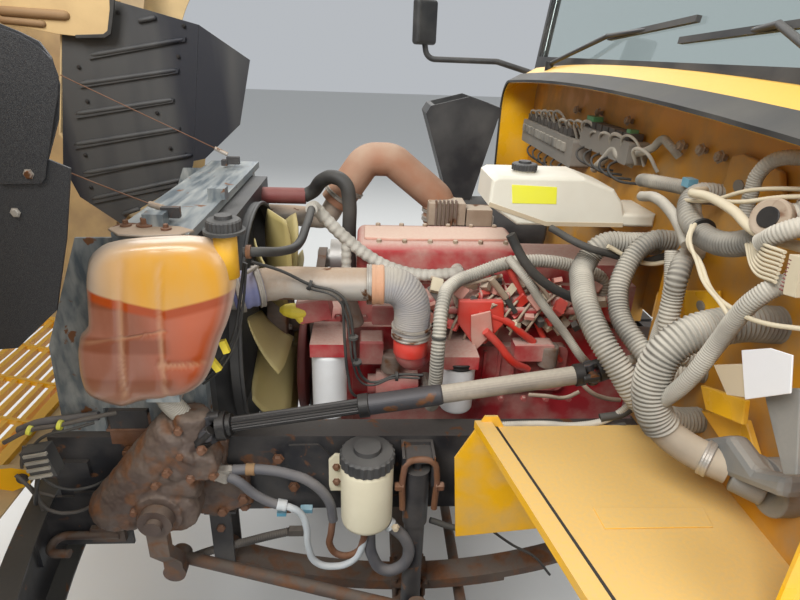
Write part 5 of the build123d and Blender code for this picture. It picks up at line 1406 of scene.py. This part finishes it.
# Small fittings spread over the engine's side, in five looks by turns
kinds = ["dust_heavy", "conduit_dark", "red_worn", "pink_dusty", "wire_cream"]
small_fittings = {look: [] for look in kinds}
fitting_count = 64
for index in range(fitting_count):
    x = 500 + (index * 167) % 520
    z = 372 + (index * 71) % 140
    y = 200 + (index * 29) % 52 - (30 if z > 474 else 0)
    tilt = (math.sin(index * 1.7), math.cos(index * 2.3), 0.6 + 0.5 * math.sin(index * 0.9))
    size = (16 + (index * 7) % 18, 12 + (index * 5) % 12, 24 + (index * 13) % 34)
    small_fittings[kinds[index % len(kinds)]].append(((x, y, z), tilt, size))
for look, fittings in small_fittings.items():
    stamps("small_fittings_" + look, "box", fittings, look)
rest_crates = [((1826, 405, 128), upward, (128, 56, 46)), ((1826, 405, 180), upward, (120, 52, 44))]
stamps("rest_blocks", "box", rest_crates, "rust_deep")
slab("rest_plate", [(1756, 378), (1898, 378), (1898, 436), (1756, 436)], "z", 150, 158, "rust_deep", edge=2)
front_wires = [
    (6, [(2140, 480, 150), (2066, 482, 190), (1987, 480, 205), (1909, 470, 221), (1860, 440, 215)]),
    (5, [(2120, 500, 60), (2090, 505, 20), (2075, 500, -60), (2100, 490, -130)]),
    (5, [(2060, 510, 60), (2075, 505, 0), (2060, 500, -60), (2010, 480, -90), (1960, 450, -90)]),
    (4, [(2100, 470, 130), (2120, 470, 60), (2110, 465, -20), (2070, 450, -60)]),
]
tubes("front_wires", front_wires, "conduit_dark", step=4.0)
tube("front_hose", 12, [
    (2110, 455, 170), (2050, 458, 196), (1980, 456, 206), (1900, 452, 214),
], "hose_worn")
stamps("front_wire_ties", "band", [
    ((2066, 482, 190), (1, 0, 0.3), (12, 12, 10)),
    ((1987, 480, 205), (1, 0, 0.2), (13, 13, 10)),
], "label_yellow")

# Fan: twisted blades on a dark hub, inside a ring whose rear edge leaves the blades in view
fan_x = 1480
fan_z = 290
blade_count = 9
first_blade = 0.21
blade_places = []
for index in range(blade_count):
    angle = math.tau * index / blade_count + first_blade
    blade_places.append(((fan_x, 0, fan_z), (0, math.cos(angle), math.sin(angle)), (1, 1, 1)))
fan_blades = stamps("fan_blades", "blade", blade_places, "blade_olive", "fan", smooth=True)
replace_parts(fan_blades, "fan")
# Rear face, radius and length of each round of the hub and its drive
hub = [(1446, 108, 68), (1294, 20, 50), (1338, 96, 40), (1376, 44, 72)]
hub_places = [((x, 0, fan_z), forward, (radius, radius, length)) for x, radius, length in hub]
stamps("fan_hub", "can", hub_places, "casting_dirty", "fan")
bolt_count = 6
bolt_reach = 70
fan_bolts = []
for index in range(bolt_count):
    angle = math.tau * index / bolt_count
    spot = (1446, bolt_reach * math.cos(angle), fan_z + bolt_reach * math.sin(angle))
    fan_bolts.append((spot, (-1, 0, 0), (9, 9, 10)))
stamps("fan_bolts", "bolt", fan_bolts, "clamp_steel", "fan")
ring_rear = 1535
ring_mesh = nodes["fan_shroud"].data.copy()
for vertex in ring_mesh.vertices:
    if vertex.co.x < 1.50:
        vertex.co.x = ring_rear * 0.001
fan_ring = linked("fan_ring", ring_mesh)
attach(fan_ring, "root")
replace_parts(fan_ring, "fan_shroud")
lip_radius = 379
lip_steps = 72
lip = []
for index in range(lip_steps + 1):
    angle = math.tau * index / lip_steps
    lip.append((ring_rear + 1, lip_radius * math.cos(angle), fan_z + lip_radius * math.sin(angle)))
tube("ring_lip", 6, lip, "black_plastic", step=8.0)

# Inner fender: blank raised field, and a thin black slab painted as the shade in the gap behind its lip
lip_shade_outline = [(858, 556), (874, 556), (757, 1120), (741, 1120)]
slab("lip_gap", lip_shade_outline, "z", 250, 251.5, "grease_black", edge=0.4)
slab("raised_field", [
    (714, 841), (474, 845), (483, 900), (711, 900),
], "z", 250, 253, "fender_dusty", edge=2)

# Plug and wires at the front of the left rail
stamps("front_plug", "crate", [((2028, 520, 125), (0.2, 0, 1), (66, 40, 84))], "black_plastic")
stamps("front_plug_ribs", "crate", [
    ((2028, 542, 92 + index * 22), (0.2, 0, 1), (60, 8, 8))
    for index in range(4)
], "loom")

# Tyres with grooves and shoulder notches
axle_x = 1050.0
axle_z = -440.0
tyre_y = 1040.0


def tyre_piece(name, centre_y, body):
    """Rings of the tyre's section; a shoulder ring steps in at every fourth segment."""
    # Radius, offset from the tyre's middle, 1 where notches cut in
    section = [
        (287, -100, 0), (300, -118, 0), (380, -137, 0), (440, -138, 0), (478, -128, 0), (492, -122, 1),
        (508, -112, 1), (517, -100, 1), (518, -82, 1), (506, -80, 0), (506, -70, 0), (519, -68, 0),
        (519, -30, 0), (506, -28, 0), (506, -18, 0), (519, -16, 0),
    ]
    section += [(radius, -offset, notch) for radius, offset, notch in reversed(section)]
    count = 168
    notch_every = 4
    notch_depth = 9
    narrow = 136.0 / 138.0
    points = []
    for radius, offset, notch in section:
        for index in range(count):
            angle = math.tau * index / count
            reach = radius - (notch_depth if notch and index % notch_every == 0 else 0)
            x = axle_x + reach * math.cos(angle)
            z = axle_z + reach * math.sin(angle)
            points.append(metres((x, centre_y + offset * narrow, z)))
    piece = mesh_object(name, points, ring_faces(len(section), count, closed=True))
    piece.data.shade_smooth()
    piece.data.set_sharp_from_angle(angle=math.radians(35))
    dress(piece, looks["tyre"])
    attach(piece, body)
    return piece


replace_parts(tyre_piece("tyre_tread_left", tyre_y, "left_wheel"), "tyre_left")
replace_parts(tyre_piece("tyre_tread_right", -tyre_y, "right_wheel"), "tyre_right")

# Floor, lights, camera and world


def stage_plane(name, size, height, colour):
    mesh = bpy.data.meshes.new(name)
    rear = 1.0 - size / 2
    front = 1.0 + size / 2
    side = size / 2
    corners = [(rear, -side, height), (front, -side, height), (front, side, height), (rear, side, height)]
    mesh.from_pydata(corners, [], [(0, 1, 2, 3)])
    plane = linked(name, mesh)
    finish = Finish(name + "_grey", roughness=0.9)
    finish.colour(colour)
    plane.data.materials.append(finish.material)


floor_size = 60.0
floor_gap = 0.002
stage_plane("studio_floor", floor_size, floor_height - floor_gap, (0.62, 0.62, 0.60))


def lamp(name, place, target, energy, size):
    light = bpy.data.lights.new(name, "AREA")
    light.energy = energy
    light.size = size
    obj = linked(name, light)
    obj.location = place
    obj.rotation_euler = (Vector(target) - Vector(place)).to_track_quat("-Z", "Y").to_euler()


lamp("key_light", (3.5, 3.5, 5.0), (1.2, 0.0, 0.3), 420.0, 3.0)
lamp("fill_light", (-2.0, 4.5, 3.0), (1.0, 0.0, 0.4), 160.0, 4.0)
lamp("back_light", (1.0, -5.0, 4.5), (1.2, 0.0, 0.4), 260.0, 4.0)

world = bpy.data.worlds.new("studio_world")
bpy.context.scene.world = world
world.use_nodes = True
background = world.node_tree.nodes["Background"]
background.inputs["Color"].default_value = (0.86, 0.90, 0.95, 1.0)
background.inputs["Strength"].default_value = 0.55


def view_camera():
    """The camera at the photograph's place; its roll lowers the right end of the horizon."""
    pitch = math.radians(camera_pitch)
    turn = math.radians(camera_turn)
    roll = math.radians(camera_roll)
    ahead = Vector((-math.sin(turn), -math.cos(turn), 0.0))
    level_right = Vector((-math.cos(turn), math.sin(turn), 0.0))
    up = Vector((0, 0, 1))
    look = ahead * math.cos(pitch) - up * math.sin(pitch)
    level_up = ahead * math.sin(pitch) + up * math.cos(pitch)
    right = level_right * math.cos(roll) + level_up * math.sin(roll)
    top = level_up * math.cos(roll) - level_right * math.sin(roll)
    data = bpy.data.cameras.new("photo_camera")
    data.lens = camera_lens
    data.sensor_width = 36.0
    data.clip_start = 0.02
    data.clip_end = 100.0
    camera = linked("photo_camera", data)
    turned = Matrix((right, top, -look)).transposed().to_4x4()
    camera.matrix_world = Matrix.Translation(camera_place) @ turned
    bpy.context.scene.camera = camera


view_camera()
bpy.context.scene.view_settings.view_transform = "Standard"
